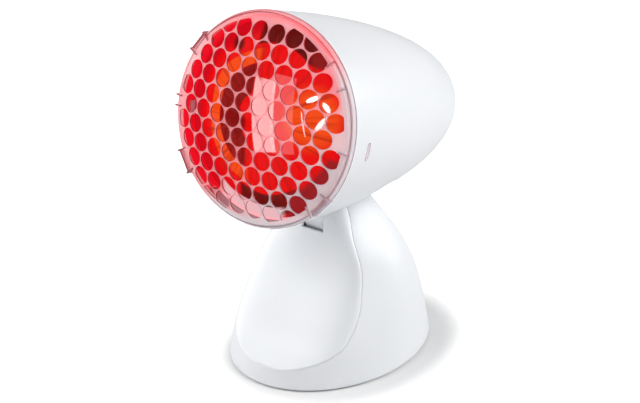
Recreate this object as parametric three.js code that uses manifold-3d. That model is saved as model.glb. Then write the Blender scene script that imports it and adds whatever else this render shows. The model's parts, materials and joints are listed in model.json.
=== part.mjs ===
// Infrared heat therapy lamp: a bullet-shaped head behind a domed grille, tilting on a pear-shaped table base.
// Millimetres, +Z up, the lamp shines towards -Y, and the origin is on the table under the middle of the whole lamp.
// The forms are worked out about the middle of the base, which the last lines move forward by middleBack.
import * as THREE from 'three';
import { mergeVertices } from 'three/addons/utils/BufferGeometryUtils.js';
import Module from 'manifold-3d';

const wasm = await Module();
wasm.setup();

// Driving dimensions of the bulb and its holder
const bulbRadius = 59;
const bulbLength = 136;
const bulbForward = 4;
const bulbRimDepth = 10;
const bulbRimWidth = 8;
const bulbNeckRadius = 16;
const bulbNeckLength = 13;
const bulbWall = 1.6;
const capRadius = 13.2;
const capLength = 27;
const contactRise = 4;
const holderRadius = 21;
const holderWall = 4;
const holderRoom = 19;

// Driving dimensions of the head, which is sized round the bulb
const headWall = 2.2;
const bulbGap = 4.5;
const tailRoom = 57;
const headTiltDegrees = 13.4;
const saddleGap = 0.8;
const sideSlitLength = 10.4;
const sideSlitWidth = 2;
const sideSlitDepthFromRing = 16.4;
const sideSlitDegrees = 5.7;

// Driving dimensions of the grille
const holePitch = 12.4;
const holeDiameter = 11.3;
const grilleMargin = 4.3;
const grilleThickness = 1.6;
const grilleRise = 18;
const grilleCollarDepth = 5;
const latchWidth = 9;
const latchThickness = 1.3;
const latchHookHeight = 0.9;

// Driving dimensions of the base
const baseWidth = 124;
const baseDepth = 156.4;
const shoulderHeight = 104;
const baseWall = 2.4;
const faceStart = 11.8;
const shellLift = 1.4;
const plateThickness = 2.5;
const plateLift = 1.9;
const footRadius = 7;

// Driving dimensions of the tilting joint
const hingeBack = 5;
const hingeDrop = 8;
const neckTopRadius = 27.2;
const slotWidth = 16.8;
const slotDrop = 15.4;
const knuckleGap = 2.6;
const pinRadius = 3;
const barrelRadius = 8;
const forkThickness = 2.4;
const forkHeightShare = 0.503;
const postRadius = 5;
const postSpread = 22;

// Driving dimensions of the switch and the cable bush
const switchHeight = 44;
const switchSlopeDegrees = 20;
const switchWidth = 15;
const switchLength = 21;
const switchBodyDepth = 13;
const rockerThrowDegrees = 8;
const bushHeight = 16;
const bushRadius = 4.6;
const bushBoreRadius = 3.3;
const leadRadius = 1.5;

// Clearances
const touchGap = 0.3;
const fitGap = 0.4;
const overrun = 10;
const mergeTolerance = 1e-4;

const degree = Math.PI / 180;
const fullTurn = Math.PI * 2;
const quarterTurn = Math.PI / 2;
const headTilt = headTiltDegrees * degree;

// Sizes that follow from the driving ones
const ringRadius = bulbRadius + bulbGap + headWall;
const headLength = bulbLength + tailRoom;
const holeFieldRadius = ringRadius - grilleMargin;
const hingeHeight = shoulderHeight - hingeDrop;
const saddleRadius = neckTopRadius + saddleGap;
const knuckleRadius = neckTopRadius - knuckleGap;
const slotFloor = shoulderHeight - slotDrop;
const forkHeight = shoulderHeight * forkHeightShare;

// Numbers of steps round and along the curved forms
const roundSteps = 38;
const smallSteps = 14;
const screwSteps = 8;
const holeSteps = 8;
const wireSides = 6;

function finish(hex, roughness, metalness = 0) {
  return new THREE.MeshStandardMaterial({ color: hex, roughness, metalness });
}

const whitePlastic = finish(0xf2f3f5, 0.28);
const greyPlastic = finish(0xb9bcc2, 0.5);
const clearPlastic = finish(0xe6dfe6, 0.1);
const redGlass = finish(0xc01414, 0.08);
const steel = finish(0xb6b8bb, 0.35, 0.9);
const brass = finish(0xc9a35a, 0.35, 0.9);
const aluminium = finish(0xd2d4d6, 0.3, 0.9);
const ceramic = finish(0xf0ece2, 0.4);
const darkRubber = finish(0x2c2d30, 0.85);
const wireCover = finish(0xdedede, 0.6);

function solidOf(geometry) {
  const bare = geometry.clone();
  bare.deleteAttribute('normal');
  bare.deleteAttribute('uv');
  const merged = mergeVertices(bare, mergeTolerance);
  const position = merged.attributes.position;
  const corners = [new THREE.Vector3(), new THREE.Vector3(), new THREE.Vector3()];
  const triangles = [];
  let volume = 0;
  for (let at = 0; at < merged.index.count; at += 3) {
    const [a, b, c] = [0, 1, 2].map((step) => merged.index.getX(at + step));
    if (a === b || b === c || c === a) continue;
    triangles.push([a, b, c]);
    [a, b, c].forEach((vertex, corner) => corners[corner].fromBufferAttribute(position, vertex));
    volume += corners[0].dot(corners[1].cross(corners[2]));
  }
  const outward = volume > 0 ? triangles : triangles.map(([a, b, c]) => [a, c, b]);
  return new wasm.Manifold(new wasm.Mesh({
    numProp: 3,
    vertProperties: new Float32Array(position.array),
    triVerts: new Uint32Array(outward.flat()),
  }));
}

function join(first, ...others) {
  return others.reduce((sum, other) => sum.add(other), first);
}

function cut(first, ...others) {
  return others.reduce((rest, other) => rest.subtract(other), first);
}

function piece(name, solid, material) {
  const mesh = solid.getMesh();
  const geometry = new THREE.BufferGeometry();
  geometry.setAttribute('position', new THREE.BufferAttribute(new Float32Array(mesh.vertProperties), 3));
  geometry.setIndex(new THREE.BufferAttribute(new Uint32Array(mesh.triVerts), 1));
  geometry.computeVertexNormals();
  const result = new THREE.Mesh(geometry, material);
  result.name = name;
  return result;
}

function place(geometry, matrix) {
  return matrix ? geometry.applyMatrix4(matrix) : geometry;
}

function block(x0, x1, y0, y1, z0, z1, matrix) {
  const geometry = new THREE.BoxGeometry(x1 - x0, y1 - y0, z1 - z0);
  geometry.translate((x0 + x1) / 2, (y0 + y1) / 2, (z0 + z1) / 2);
  return solidOf(place(geometry, matrix));
}

// A turned solid: profile pairs are [radius, distance along the axis]
function turned(axis, pairs, steps, centre = [0, 0, 0], matrix = null) {
  const geometry = new THREE.LatheGeometry(pairs.map(([r, y]) => new THREE.Vector2(r, y)), steps);
  if (axis === 'x') geometry.rotateZ(-quarterTurn);
  if (axis === 'z') geometry.rotateX(quarterTurn);
  geometry.translate(...centre);
  return solidOf(place(geometry, matrix));
}

function rod(axis, radius, from, to, steps, centre = [0, 0, 0], matrix = null) {
  return turned(axis, [[0, from], [radius, from], [radius, to], [0, to]], steps, centre, matrix);
}

// A side-view outline, pairs of [y, z], carried across from x0 to x1
function sideSlab(pairs, x0, x1, matrix = null) {
  const shape = new THREE.Shape(pairs.map(([y, z]) => new THREE.Vector2(y, z)));
  const geometry = new THREE.ExtrudeGeometry(shape, { depth: x1 - x0, bevelEnabled: false });
  geometry.applyMatrix4(new THREE.Matrix4().makeBasis(
    new THREE.Vector3(0, 1, 0),
    new THREE.Vector3(0, 0, 1),
    new THREE.Vector3(1, 0, 0),
  ));
  geometry.translate(x0, 0, 0);
  return solidOf(place(geometry, matrix));
}

// A closed solid through a stack of rings that all have the same number of points
function loft(rings) {
  const count = rings[0].length;
  const points = rings.flat();
  const index = [];
  for (let ring = 0; ring + 1 < rings.length; ring += 1) {
    for (let k = 0; k < count; k += 1) {
      const a = ring * count + k;
      const b = ring * count + (k + 1) % count;
      index.push(a, b, b + count, a, b + count, a + count);
    }
  }
  const cap = (ring, flip) => {
    const centre = ring.reduce((sum, p) => sum.add(p), new THREE.Vector3()).divideScalar(count);
    const start = points.indexOf(ring[0]);
    points.push(centre);
    for (let k = 0; k < count; k += 1) {
      const next = start + (k + 1) % count;
      index.push(...(flip ? [points.length - 1, next, start + k] : [points.length - 1, start + k, next]));
    }
  };
  cap(rings[0], true);
  cap(rings[rings.length - 1], false);
  const geometry = new THREE.BufferGeometry().setFromPoints(points);
  geometry.setIndex(index);
  return solidOf(geometry);
}

function wire(points, radius) {
  const curve = new THREE.CatmullRomCurve3(points.map((p) => new THREE.Vector3(...p)));
  const section = new THREE.Shape();
  for (let k = 0; k < wireSides; k += 1) {
    const angle = fullTurn * k / wireSides;
    const at = [radius * Math.cos(angle), radius * Math.sin(angle)];
    if (k === 0) section.moveTo(...at);
    else section.lineTo(...at);
  }
  const steps = Math.ceil(curve.getLength() / (radius * wireSides));
  return solidOf(new THREE.ExtrudeGeometry(section, { steps, extrudePath: curve, bevelEnabled: false }));
}

// A smooth curve through pairs of stations and values, level in slope with its neighbours
function smooth(stations, values) {
  const last = stations.length - 1;
  const slope = (k) => {
    const low = Math.max(k - 1, 0);
    const high = Math.min(k + 1, last);
    return (values[high] - values[low]) / (stations[high] - stations[low]);
  };
  return (at) => {
    const found = stations.findIndex((station) => station > at);
    const k = found < 0 ? last - 1 : Math.max(found - 1, 0);
    const step = stations[k + 1] - stations[k];
    const u = Math.min(Math.max((at - stations[k]) / step, 0), 1);
    const rise = values[k + 1] - values[k];
    const bend = (slope(k) * step - rise) * (1 - u) - (slope(k + 1) * step - rise) * u;
    return values[k] + rise * u + u * (1 - u) * bend;
  };
}

// The base: a pear of elliptical sections, each height a share of the shoulder height
const heightShares = [0, 0.24, 0.48, 0.72, 1, 1.07, 1.22];
const widthShares = [1, 0.948, 0.866, 0.715, 0.324, 0.226, 0.212];
const depthShares = [1, 0.898, 0.743, 0.542, 0.276, 0.236, 0.236];
const centreShares = [-0.0083, -0.0026, 0.016, 0.0237, 0.0339, 0.0256, 0.0256];
const stationHeights = heightShares.map((share) => share * shoulderHeight);
const bodyHalfWidth = smooth(stationHeights, widthShares.map((share) => share * baseWidth / 2));
const bodyHalfDepth = smooth(stationHeights, depthShares.map((share) => share * baseDepth / 2));
const bodyCentre = smooth(stationHeights, centreShares.map((share) => share * baseDepth));
const bodyTop = stationHeights[stationHeights.length - 1];

// The face runs up from its lowest point to the neck: where its edge lies, and how far it stands ahead
const faceShares = [0, 0.12, 0.3, 0.55, 0.8, 1, 1.25];
const edgeShares = [-0.485, -0.335, -0.233, -0.16, -0.106, -0.045, -0.038];
const noseShares = [-0.485, -0.394, -0.315, -0.219, -0.153, -0.127, -0.122];
const faceHeights = faceShares.map((share) => faceStart + share * (shoulderHeight - faceStart));
const faceEdge = smooth(faceHeights, edgeShares.map((share) => share * baseDepth));
const faceNose = smooth(faceHeights, noseShares.map((share) => share * baseDepth));

function bodyRing(height, inset) {
  const ring = [];
  for (let k = 0; k < roundSteps; k += 1) {
    const angle = fullTurn * k / roundSteps;
    ring.push(new THREE.Vector3(
      (bodyHalfWidth(height) - inset) * Math.cos(angle),
      bodyCentre(height) + (bodyHalfDepth(height) - inset) * Math.sin(angle),
      height,
    ));
  }
  return ring;
}

function bodyLoft(inset, bottom) {
  const steps = 10;
  const rings = [];
  for (let k = 0; k <= steps; k += 1) rings.push(bodyRing(bottom + (bodyTop - bottom) * k / steps, inset));
  return loft(rings);
}

// Everything above the hinge keeps inside a barrel about its axis, so that the head can turn over it
function neckLimit(inset) {
  const arcSteps = 24;
  const radius = neckTopRadius - inset;
  const outline = [];
  for (let k = 0; k <= arcSteps; k += 1) {
    const angle = Math.PI * k / arcSteps;
    outline.push([hingeBack + radius * Math.cos(angle), hingeHeight + radius * Math.sin(angle)]);
  }
  outline.push([-baseDepth, hingeHeight], [-baseDepth, -overrun], [baseDepth, -overrun], [baseDepth, hingeHeight]);
  return sideSlab(outline, -baseWidth, baseWidth);
}

function faceCutter(gap) {
  const steps = 16;
  const outline = [];
  for (let k = 0; k <= steps; k += 1) {
    const height = faceStart + (bodyTop - faceStart) * (k / steps) ** 1.5;
    outline.push([faceEdge(height) + gap, height]);
  }
  outline.push([outline[steps][0], bodyTop + overrun], [-baseDepth, bodyTop + overrun], [-baseDepth, faceStart]);
  return sideSlab(outline, -baseWidth, baseWidth);
}

function neckSlot() {
  const opening = sideSlab([
    [-baseDepth, slotFloor],
    [hingeBack, slotFloor],
    [hingeBack + knuckleRadius * 0.55, hingeHeight],
    [hingeBack + knuckleRadius * 0.62, hingeHeight + knuckleRadius * 0.6],
    [baseDepth, hingeHeight + knuckleRadius * 0.6],
    [baseDepth, bodyTop + overrun],
    [-baseDepth, bodyTop + overrun],
  ], -slotWidth / 2, slotWidth / 2);
  return join(opening, rod('x', knuckleRadius + fitGap * 2, -slotWidth / 2, slotWidth / 2, roundSteps, [
    0, hingeBack, hingeHeight,
  ]));
}

const screwSpots = [[-1, -1], [1, -1], [-1, 1], [1, 1]];
const plateScrewX = baseWidth * 0.16;
const plateScrewFrontY = -baseDepth * 0.424;
const plateScrewBackY = baseDepth * 0.41;
const screwRadius = 1.5;
const screwHeadRadius = 3;
const screwHeadHeight = 1.4;
const bossRadius = 4.6;
const bossTop = 14;

function plateScrewPlace([sideX, sideY]) {
  return [sideX * plateScrewX, sideY < 0 ? plateScrewFrontY : plateScrewBackY, 0];
}

// The switch looks out of the back of the base, on a pad square to the slope there
const switchBack = bodyCentre(switchHeight) + bodyHalfDepth(switchHeight);
const padRise = 1;
const padMargin = 2.6;
const switchFrame = new THREE.Matrix4().makeTranslation(0, switchBack + padRise, switchHeight)
  .multiply(new THREE.Matrix4().makeRotationX(switchSlopeDegrees * degree));
const switchBodyWidth = switchWidth - 2.4;
const switchBodyLength = switchLength - 2.4;

function switchPad() {
  const halfWidth = switchWidth / 2 + padMargin;
  const halfLength = switchLength / 2 + padMargin;
  return block(-halfWidth, halfWidth, -padRise * 5, 0, -halfLength, halfLength, switchFrame);
}

function switchOpening() {
  const halfWidth = switchBodyWidth / 2 + touchGap;
  const halfLength = switchBodyLength / 2 + touchGap;
  return block(-halfWidth, halfWidth, -overrun, overrun, -halfLength, halfLength, switchFrame);
}

const bushFace = bodyCentre(bushHeight) + bodyHalfDepth(bushHeight) + 2;
const bushPadRadius = bushRadius + 3.4;

function baseRearShell() {
  const outer = bodyLoft(0, shellLift).intersect(neckLimit(0));
  const inner = bodyLoft(baseWall, -overrun).intersect(neckLimit(baseWall));
  const bushPad = rod('y', bushPadRadius, bushFace - baseWall * 3, bushFace, smallSteps, [0, 0, bushHeight]);
  const pads = join(switchPad(), bushPad);
  const bossSolids = screwSpots.map((spot) => {
    const boss = rod('z', bossRadius, plateLift + plateThickness + touchGap, bossTop, smallSteps, plateScrewPlace(spot));
    return boss.intersect(bodyLoft(baseWall / 2, -overrun));
  });
  const bossBores = screwSpots.map((spot) => (
    rod('z', screwRadius + touchGap, 0, bossTop - screwRadius, screwSteps, plateScrewPlace(spot))
  ));
  const shell = join(cut(outer, inner), pads, ...bossSolids);
  const bushBore = rod('y', bushRadius + touchGap, bushFace - overrun, bushFace + overrun, smallSteps, [0, 0, bushHeight]);
  return cut(shell, faceCutter(touchGap), neckSlot(), switchOpening(), bushBore, ...bossBores);
}

function faceRing(height, inset, backward) {
  const steps = 16;
  const edge = faceEdge(height);
  const offCentre = (edge - bodyCentre(height)) / bodyHalfDepth(height);
  const halfWidth = bodyHalfWidth(height) * Math.sqrt(Math.max(1 - offCentre ** 2, 0)) - inset;
  const rise = edge - faceNose(height) - inset;
  const ring = [];
  for (let k = 0; k <= steps; k += 1) {
    const angle = Math.PI * k / steps;
    ring.push(new THREE.Vector3(halfWidth * Math.cos(angle), edge - rise * Math.sin(angle), height));
  }
  ring.push(new THREE.Vector3(-halfWidth, edge + backward, height));
  ring.push(new THREE.Vector3(halfWidth, edge + backward, height));
  return ring;
}

function faceLoft(inset, backward, lift) {
  const steps = 13;
  const bottom = faceStart + lift;
  const rings = [];
  for (let k = 0; k <= steps; k += 1) {
    rings.push(faceRing(bottom + (bodyTop - bottom) * (k / steps) ** 1.6, inset, backward));
  }
  return loft(rings);
}

const coverLift = 0.8;
const coverInnerLift = 6.5;

function baseFrontCover() {
  const outer = faceLoft(0, touchGap, coverLift).intersect(neckLimit(0)).intersect(faceCutter(0));
  const inner = faceLoft(baseWall, overrun, coverInnerLift).intersect(neckLimit(baseWall));
  return cut(outer, inner, neckSlot());
}

const footSpots = screwSpots;
const postSides = [-1, 1];
const footX = baseWidth * 0.29;
const footY = baseDepth * 0.27;
const footStemRadius = 2.6;
const footHeadRadius = 3.6;
const plateTop = plateLift + plateThickness;

function postPlace(side) {
  return [side * postSpread, hingeBack, 0];
}

function basePlate() {
  const rings = [plateLift, plateTop].map((height) => {
    const inset = baseWall + fitGap;
    return bodyRing(plateTop, inset).map((point) => new THREE.Vector3(point.x, point.y, height));
  });
  const footHoles = footSpots.map(([sx, sy]) => (
    rod('z', footStemRadius + touchGap, -overrun, overrun, screwSteps, [sx * footX, sy * footY, 0])
  ));
  const screwHoles = [...screwSpots.map(plateScrewPlace), ...postSides.map(postPlace)].map((place) => {
    const seat = plateLift + screwHeadHeight + touchGap;
    return turned('z', [
      [0, -overrun],
      [screwHeadRadius + touchGap, -overrun],
      [screwHeadRadius + touchGap, seat],
      [screwRadius + touchGap, seat],
      [screwRadius + touchGap, overrun],
      [0, overrun],
    ], screwSteps, place);
  });
  return cut(loft(rings), ...footHoles, ...screwHoles);
}

const postBore = 12;
const forkFoot = 4;

// Two pillars stand on the base plate and carry the fork, with a screw into each of their ends
function forkPost(side) {
  const bottom = plateTop + touchGap;
  const top = forkHeight - touchGap;
  const pillar = rod('z', postRadius, bottom, top, smallSteps, postPlace(side));
  const upperBore = rod('z', screwRadius + touchGap, top - postBore, top + overrun, screwSteps, postPlace(side));
  const lowerBore = rod('z', screwRadius + touchGap, 0, bottom + postBore, screwSteps, postPlace(side));
  return cut(pillar, upperBore, lowerBore);
}

const forkHalfWidth = slotWidth / 2 + forkThickness;
const forkFootHalfWidth = postSpread + postRadius + 1;

// The fork that carries the hinge pin stands on two posts of the base plate, inside the shells
function neckFork() {
  const cheekOutline = [];
  const arcSteps = 14;
  const halfDepth = barrelRadius * 1.5;
  for (let k = 0; k <= arcSteps; k += 1) {
    const angle = Math.PI * k / arcSteps;
    cheekOutline.push([hingeBack + halfDepth * Math.cos(angle), hingeHeight + halfDepth * Math.sin(angle)]);
  }
  cheekOutline.push([hingeBack - halfDepth, forkHeight], [hingeBack + halfDepth, forkHeight]);
  const cheeks = sideSlab(cheekOutline, -forkHalfWidth, forkHalfWidth);
  const innerHalf = slotWidth / 2;
  const gapBlock = block(
    -innerHalf, innerHalf, -baseDepth, baseDepth, forkHeight + forkFoot * 2, bodyTop + overrun,
  );
  const foot = block(
    -forkFootHalfWidth, forkFootHalfWidth, hingeBack - halfDepth, hingeBack + halfDepth, forkHeight, forkHeight + forkFoot,
  );
  const pinBore = rod('x', pinRadius + touchGap, -overrun * 2, overrun * 2, smallSteps, [0, hingeBack, hingeHeight]);
  const bores = [-1, 1].map((side) => (
    rod('z', screwRadius + touchGap, forkHeight - overrun, forkHeight + overrun, screwSteps, [side * postSpread, hingeBack, 0])
  ));
  return cut(join(cut(cheeks, gapBlock), foot), pinBore, ...bores);
}

const pinHeadRadius = 4.6;
const pinHeadHeight = 1.6;
const pinClearance = forkHalfWidth + touchGap;
const nutRadius = 4.2;
const nutHeight = 1.8;

function hingePin() {
  return turned('x', [
    [0, -pinClearance - pinHeadHeight],
    [pinHeadRadius, -pinClearance - pinHeadHeight],
    [pinHeadRadius, -pinClearance],
    [pinRadius, -pinClearance],
    [pinRadius, pinClearance + nutHeight],
    [0, pinClearance + nutHeight],
  ], smallSteps, [0, hingeBack, hingeHeight]);
}

function hingeNut() {
  const nut = rod('x', nutRadius, pinClearance, pinClearance + nutHeight, 6, [0, hingeBack, hingeHeight]);
  const bore = rod('x', pinRadius + touchGap, 0, pinClearance + overrun, smallSteps, [0, hingeBack, hingeHeight]);
  return cut(nut, bore);
}

// The notched disc is fixed to the fork: five notches give five tilts of the head
const discThickness = 2;
const notchCount = 5;
const notchStepDegrees = 6;
const notchRadius = 0.5;

function detentDisc() {
  const outer = slotWidth / 2 - touchGap;
  const disc = rod('x', barrelRadius, outer - discThickness, outer, smallSteps * 2, [0, hingeBack, hingeHeight]);
  const bore = rod('x', pinRadius + touchGap, 0, overrun, smallSteps, [0, hingeBack, hingeHeight]);
  const notches = [];
  for (let k = 0; k < notchCount; k += 1) {
    const angle = (k - (notchCount - 1) / 2) * notchStepDegrees * 2 * degree;
    notches.push(rod('x', notchRadius, 0, overrun, 6, [
      0, hingeBack - barrelRadius * Math.sin(angle), hingeHeight - barrelRadius * Math.cos(angle),
    ]));
  }
  return cut(disc, bore, ...notches);
}

function frictionWasher() {
  const outer = slotWidth / 2 - touchGap;
  const disc = rod('x', barrelRadius, -outer, -outer + discThickness / 2, smallSteps, [0, hingeBack, hingeHeight]);
  return cut(disc, rod('x', pinRadius + touchGap, -overrun, 0, smallSteps, [0, hingeBack, hingeHeight]));
}

function rubberFoot([sx, sy]) {
  return turned('z', [
    [0, 0],
    [footRadius - 0.5, 0],
    [footRadius, 0.5],
    [footRadius, plateLift - touchGap],
    [footStemRadius, plateLift - touchGap],
    [footStemRadius, plateTop + touchGap],
    [footHeadRadius, plateTop + touchGap],
    [footStemRadius, plateTop + footStemRadius],
    [0, plateTop + footStemRadius],
  ], smallSteps, [sx * footX, sy * footY, 0]);
}

function plateScrew(place) {
  const headTop = plateLift + screwHeadHeight;
  return turned('z', [
    [0, plateLift],
    [screwHeadRadius, plateLift],
    [screwHeadRadius, headTop],
    [screwRadius, headTop],
    [screwRadius, bossTop - screwRadius * 2],
    [0, bossTop - screwRadius * 2],
  ], screwSteps, place);
}

function forkScrew(side) {
  const seat = forkHeight + forkFoot + touchGap;
  return turned('z', [
    [0, forkHeight - postBore + touchGap * 2],
    [screwRadius, forkHeight - postBore + touchGap * 2],
    [screwRadius, seat],
    [screwHeadRadius, seat],
    [screwHeadRadius, seat + screwHeadHeight],
    [0, seat + screwHeadHeight],
  ], screwSteps, [side * postSpread, hingeBack, 0]);
}

// Rocker switch, in its own frame: +Y looks out of the base, +Z runs up the slope
const rockerHalfWidth = switchBodyWidth / 2 - 1.5;
const rockerHalfLength = 7.2;
const rockerEnd = 2.6;
const rockerMiddle = 1.3;
const rockerPivotDepth = 2;
const rockerPinRadius = 1;
const frameThickness = 1.8;
const switchWall = 1;

function switchHousing() {
  const flange = block(
    -switchWidth / 2, switchWidth / 2, touchGap, frameThickness, -switchLength / 2, switchLength / 2,
  );
  const body = block(
    -switchBodyWidth / 2, switchBodyWidth / 2, -switchBodyDepth, touchGap * 2, -switchBodyLength / 2, switchBodyLength / 2,
  );
  const wellHalf = rockerHalfWidth + fitGap;
  const wellLength = rockerHalfLength + 0.9;
  const well = block(-wellHalf, wellHalf, -switchBodyDepth + switchWall, overrun, -wellLength, wellLength);
  const pivot = rod('x', rockerPinRadius + touchGap, -overrun, overrun, screwSteps, [0, -rockerPivotDepth, 0]);
  const blades = [-1, 0, 1].map((step) => block(
    -bladeHalfWidth, bladeHalfWidth, -switchBodyDepth - bladeLength, -switchBodyDepth + touchGap,
    step * bladeStep - bladeThickness, step * bladeStep + bladeThickness,
  ));
  return join(cut(join(flange, body), well, pivot), ...blades);
}

const bladeHalfWidth = 2.4;
const bladeLength = 7;
const bladeStep = 6;
const bladeThickness = 0.4;

function switchRocker() {
  const turn = new THREE.Matrix4().makeTranslation(0, -rockerPivotDepth, 0)
    .multiply(new THREE.Matrix4().makeRotationX(rockerThrowDegrees * degree))
    .multiply(new THREE.Matrix4().makeTranslation(0, rockerPivotDepth, 0));
  const paddle = sideSlab([
    [rockerEnd + frameThickness, -rockerHalfLength],
    [rockerMiddle + frameThickness, 0],
    [rockerEnd + frameThickness, rockerHalfLength],
    [-rockerPivotDepth / 2, rockerHalfLength],
    [-rockerPivotDepth * 3, rockerHalfLength / 3],
    [-rockerPivotDepth * 3, -rockerHalfLength / 3],
    [-rockerPivotDepth / 2, -rockerHalfLength],
  ], -rockerHalfWidth, rockerHalfWidth, turn);
  const pinReach = rockerHalfWidth + fitGap + switchWall;
  return join(paddle, rod('x', rockerPinRadius, -pinReach, pinReach, screwSteps, [0, -rockerPivotDepth, 0]));
}

const bushFlangeRadius = bushPadRadius - 1;
const bushFlangeThickness = 1.6;
const bushInner = bushFace - overrun * 1.2;

function cableBush() {
  return turned('y', [
    [bushBoreRadius, bushInner],
    [bushRadius, bushInner],
    [bushRadius, bushFace + touchGap],
    [bushFlangeRadius, bushFace + touchGap],
    [bushFlangeRadius - 0.6, bushFace + touchGap + bushFlangeThickness],
    [bushBoreRadius + 0.6, bushFace + touchGap + bushFlangeThickness],
    [bushBoreRadius, bushFace + touchGap],
    [bushBoreRadius, bushInner],
  ], smallSteps, [0, 0, bushHeight]);
}

const clampWidth = 20;
const clampDepth = 6;
const clampHeight = 5;
const clampRoom = 26.4;
const clampBack = bushFace - clampRoom;
const terminalWidth = 24;
const terminalDepth = 15;
const terminalHeight = 11;
const terminalGap = 9;
const terminalBack = clampBack - terminalGap - terminalDepth;
const terminalHoleRadius = 1.9;

function terminalBlock() {
  const bottom = plateTop + touchGap;
  const body = block(
    -terminalWidth / 2, terminalWidth / 2, terminalBack, terminalBack + terminalDepth, bottom, bottom + terminalHeight,
  );
  const ways = [-1, 0, 1].map((step) => rod(
    'y', terminalHoleRadius, 0, baseDepth, screwSteps, [step * terminalWidth / 3, 0, bottom + terminalHeight / 2],
  ));
  return cut(body, ...ways);
}

function cordClamp() {
  const bottom = plateTop + touchGap;
  const bar = block(
    -clampWidth / 2, clampWidth / 2, clampBack, clampBack + clampDepth, bottom, bottom + clampHeight * 2,
  );
  return cut(bar, rod('y', bushBoreRadius, 0, baseDepth, smallSteps, [0, 0, bottom + clampHeight]));
}

// The lead inside the base climbs from the terminals to the foot of the fork
function baseLead() {
  const start = plateTop + terminalHeight + touchGap * 2;
  return wire([
    [0, terminalBack + terminalDepth / 2, start],
    [0, terminalBack + terminalDepth / 2, start + leadRadius * 4],
    [0, terminalBack + leadRadius, forkHeight / 2],
    [0, hingeBack + knuckleRadius, forkHeight - leadRadius * 4],
    [0, hingeBack + knuckleRadius - leadRadius, forkHeight + forkFoot * 3],
  ], leadRadius);
}

// The head, in its own frame: the origin is the ring's centre, +Y runs to the tail and +Z is up
const headRise = 1.526;
const headEase = 2.571;
const hingeAlongShare = 0.476;
const hingeLocal = new THREE.Vector3(0, headLength * hingeAlongShare, -ringRadius);
const acrossAxis = new THREE.Vector3(1, 0, 0);
const ringPlace = new THREE.Vector3(0, hingeBack, hingeHeight)
  .sub(hingeLocal.clone().applyAxisAngle(acrossAxis, -headTilt));

// The tongue stands upright at rest: this turns it about the hinge, inside the tilted head
const uprightTurn = new THREE.Matrix4().makeTranslation(0, hingeLocal.y, hingeLocal.z)
  .multiply(new THREE.Matrix4().makeRotationX(headTilt));

function headRadius(along, inset) {
  const length = headLength - inset;
  const share = Math.min(along / length, 1);
  return (ringRadius - inset) * (1 - share ** headRise) ** (1 / headEase);
}

function headProfile(inset, start, steps) {
  const length = headLength - inset;
  const pairs = [[0, start]];
  if (start < 0) pairs.push([headRadius(0, inset), start]);
  for (let k = 0; k <= steps; k += 1) {
    const along = length * Math.sin(quarterTurn * k / steps);
    pairs.push([k === steps ? 0 : headRadius(along, inset), along]);
  }
  return pairs;
}

const lensStart = -bulbForward;
const capStart = lensStart + bulbLength - capLength - contactRise;
const bracketAlong = capStart + capLength + holderRoom;
const bracketEndGap = 7.2;
const bracketHalfLength = headRadius(bracketAlong, headWall) - bracketEndGap;
const bracketEndMargin = 5;
const bracketWidth = 14;
const bracketThickness = 1.5;
const bracketBossX = bracketHalfLength - bracketEndMargin;
const bracketBossRadius = 4;
const saddleWall = 2.4;
const webThickness = 11;
const ventCount = 5;
const ventWidth = 2.4;
const ventLength = 22;
const ventPitch = 7;
const ventEndGap = 35;
const ventAlong = headLength - ventEndGap;

function saddleBarrel(radius) {
  return rod('x', radius, -ringRadius - overrun, ringRadius + overrun, roundSteps, hingeLocal.toArray());
}

function headHousing() {
  const outer = turned('y', headProfile(0, 0, 11), roundSteps);
  const inner = turned('y', headProfile(headWall, -overrun, 9), roundSteps);
  const hollow = cut(inner, saddleBarrel(saddleRadius + saddleWall));
  const bosses = [-1, 1].map((side) => {
    const at = [side * bracketBossX, 0, 0];
    const boss = rod('y', bracketBossRadius, bracketAlong + bracketThickness + touchGap, headLength, smallSteps, at);
    return boss.intersect(turned('y', headProfile(headWall / 2, 0, 13), smallSteps * 2));
  });
  const bossBores = [-1, 1].map((side) => (
    rod('y', screwRadius + touchGap, bracketAlong, bracketAlong + overrun, screwSteps, [side * bracketBossX, 0, 0])
  ));
  const webSlot = block(
    -slotWidth / 2 + touchGap, slotWidth / 2 - touchGap,
    -webThickness / 2 - touchGap, webThickness / 2 + touchGap,
    0, saddleRadius + saddleWall * 2, uprightTurn,
  );
  const screwBores = [-1, 1].map(tongueScrewBore);
  const vents = [];
  for (let k = 0; k < ventCount; k += 1) {
    const x = (k - (ventCount - 1) / 2) * ventPitch;
    vents.push(block(x - ventWidth / 2, x + ventWidth / 2, ventAlong - ventLength, ventAlong, 0, ringRadius));
  }
  const shell = join(cut(outer, hollow, saddleBarrel(saddleRadius)), ...bosses);
  return cut(shell, webSlot, ...screwBores, ...bossBores, ...vents, ...sideSlits());
}

function sideSlits() {
  return [-1, 1].map((side) => {
    const turn = side > 0 ? sideSlitDegrees : Math.PI / degree - sideSlitDegrees;
    const matrix = new THREE.Matrix4().makeRotationY(turn * degree);
    return block(
      bulbRadius, ringRadius + overrun,
      sideSlitDepthFromRing - sideSlitWidth / 2, sideSlitDepthFromRing + sideSlitWidth / 2,
      -sideSlitLength / 2, sideSlitLength / 2, matrix,
    );
  });
}

// The grille: rows of round holes in a shallow dome, cut off where they meet the rim
const domeFallShare = 0.577;
const domeEdgeShare = 0.157;

function domeHeight(radius) {
  const share = (radius / ringRadius) ** 2;
  return grilleRise * (1 - domeFallShare * share - domeEdgeShare * share * share);
}

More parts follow.
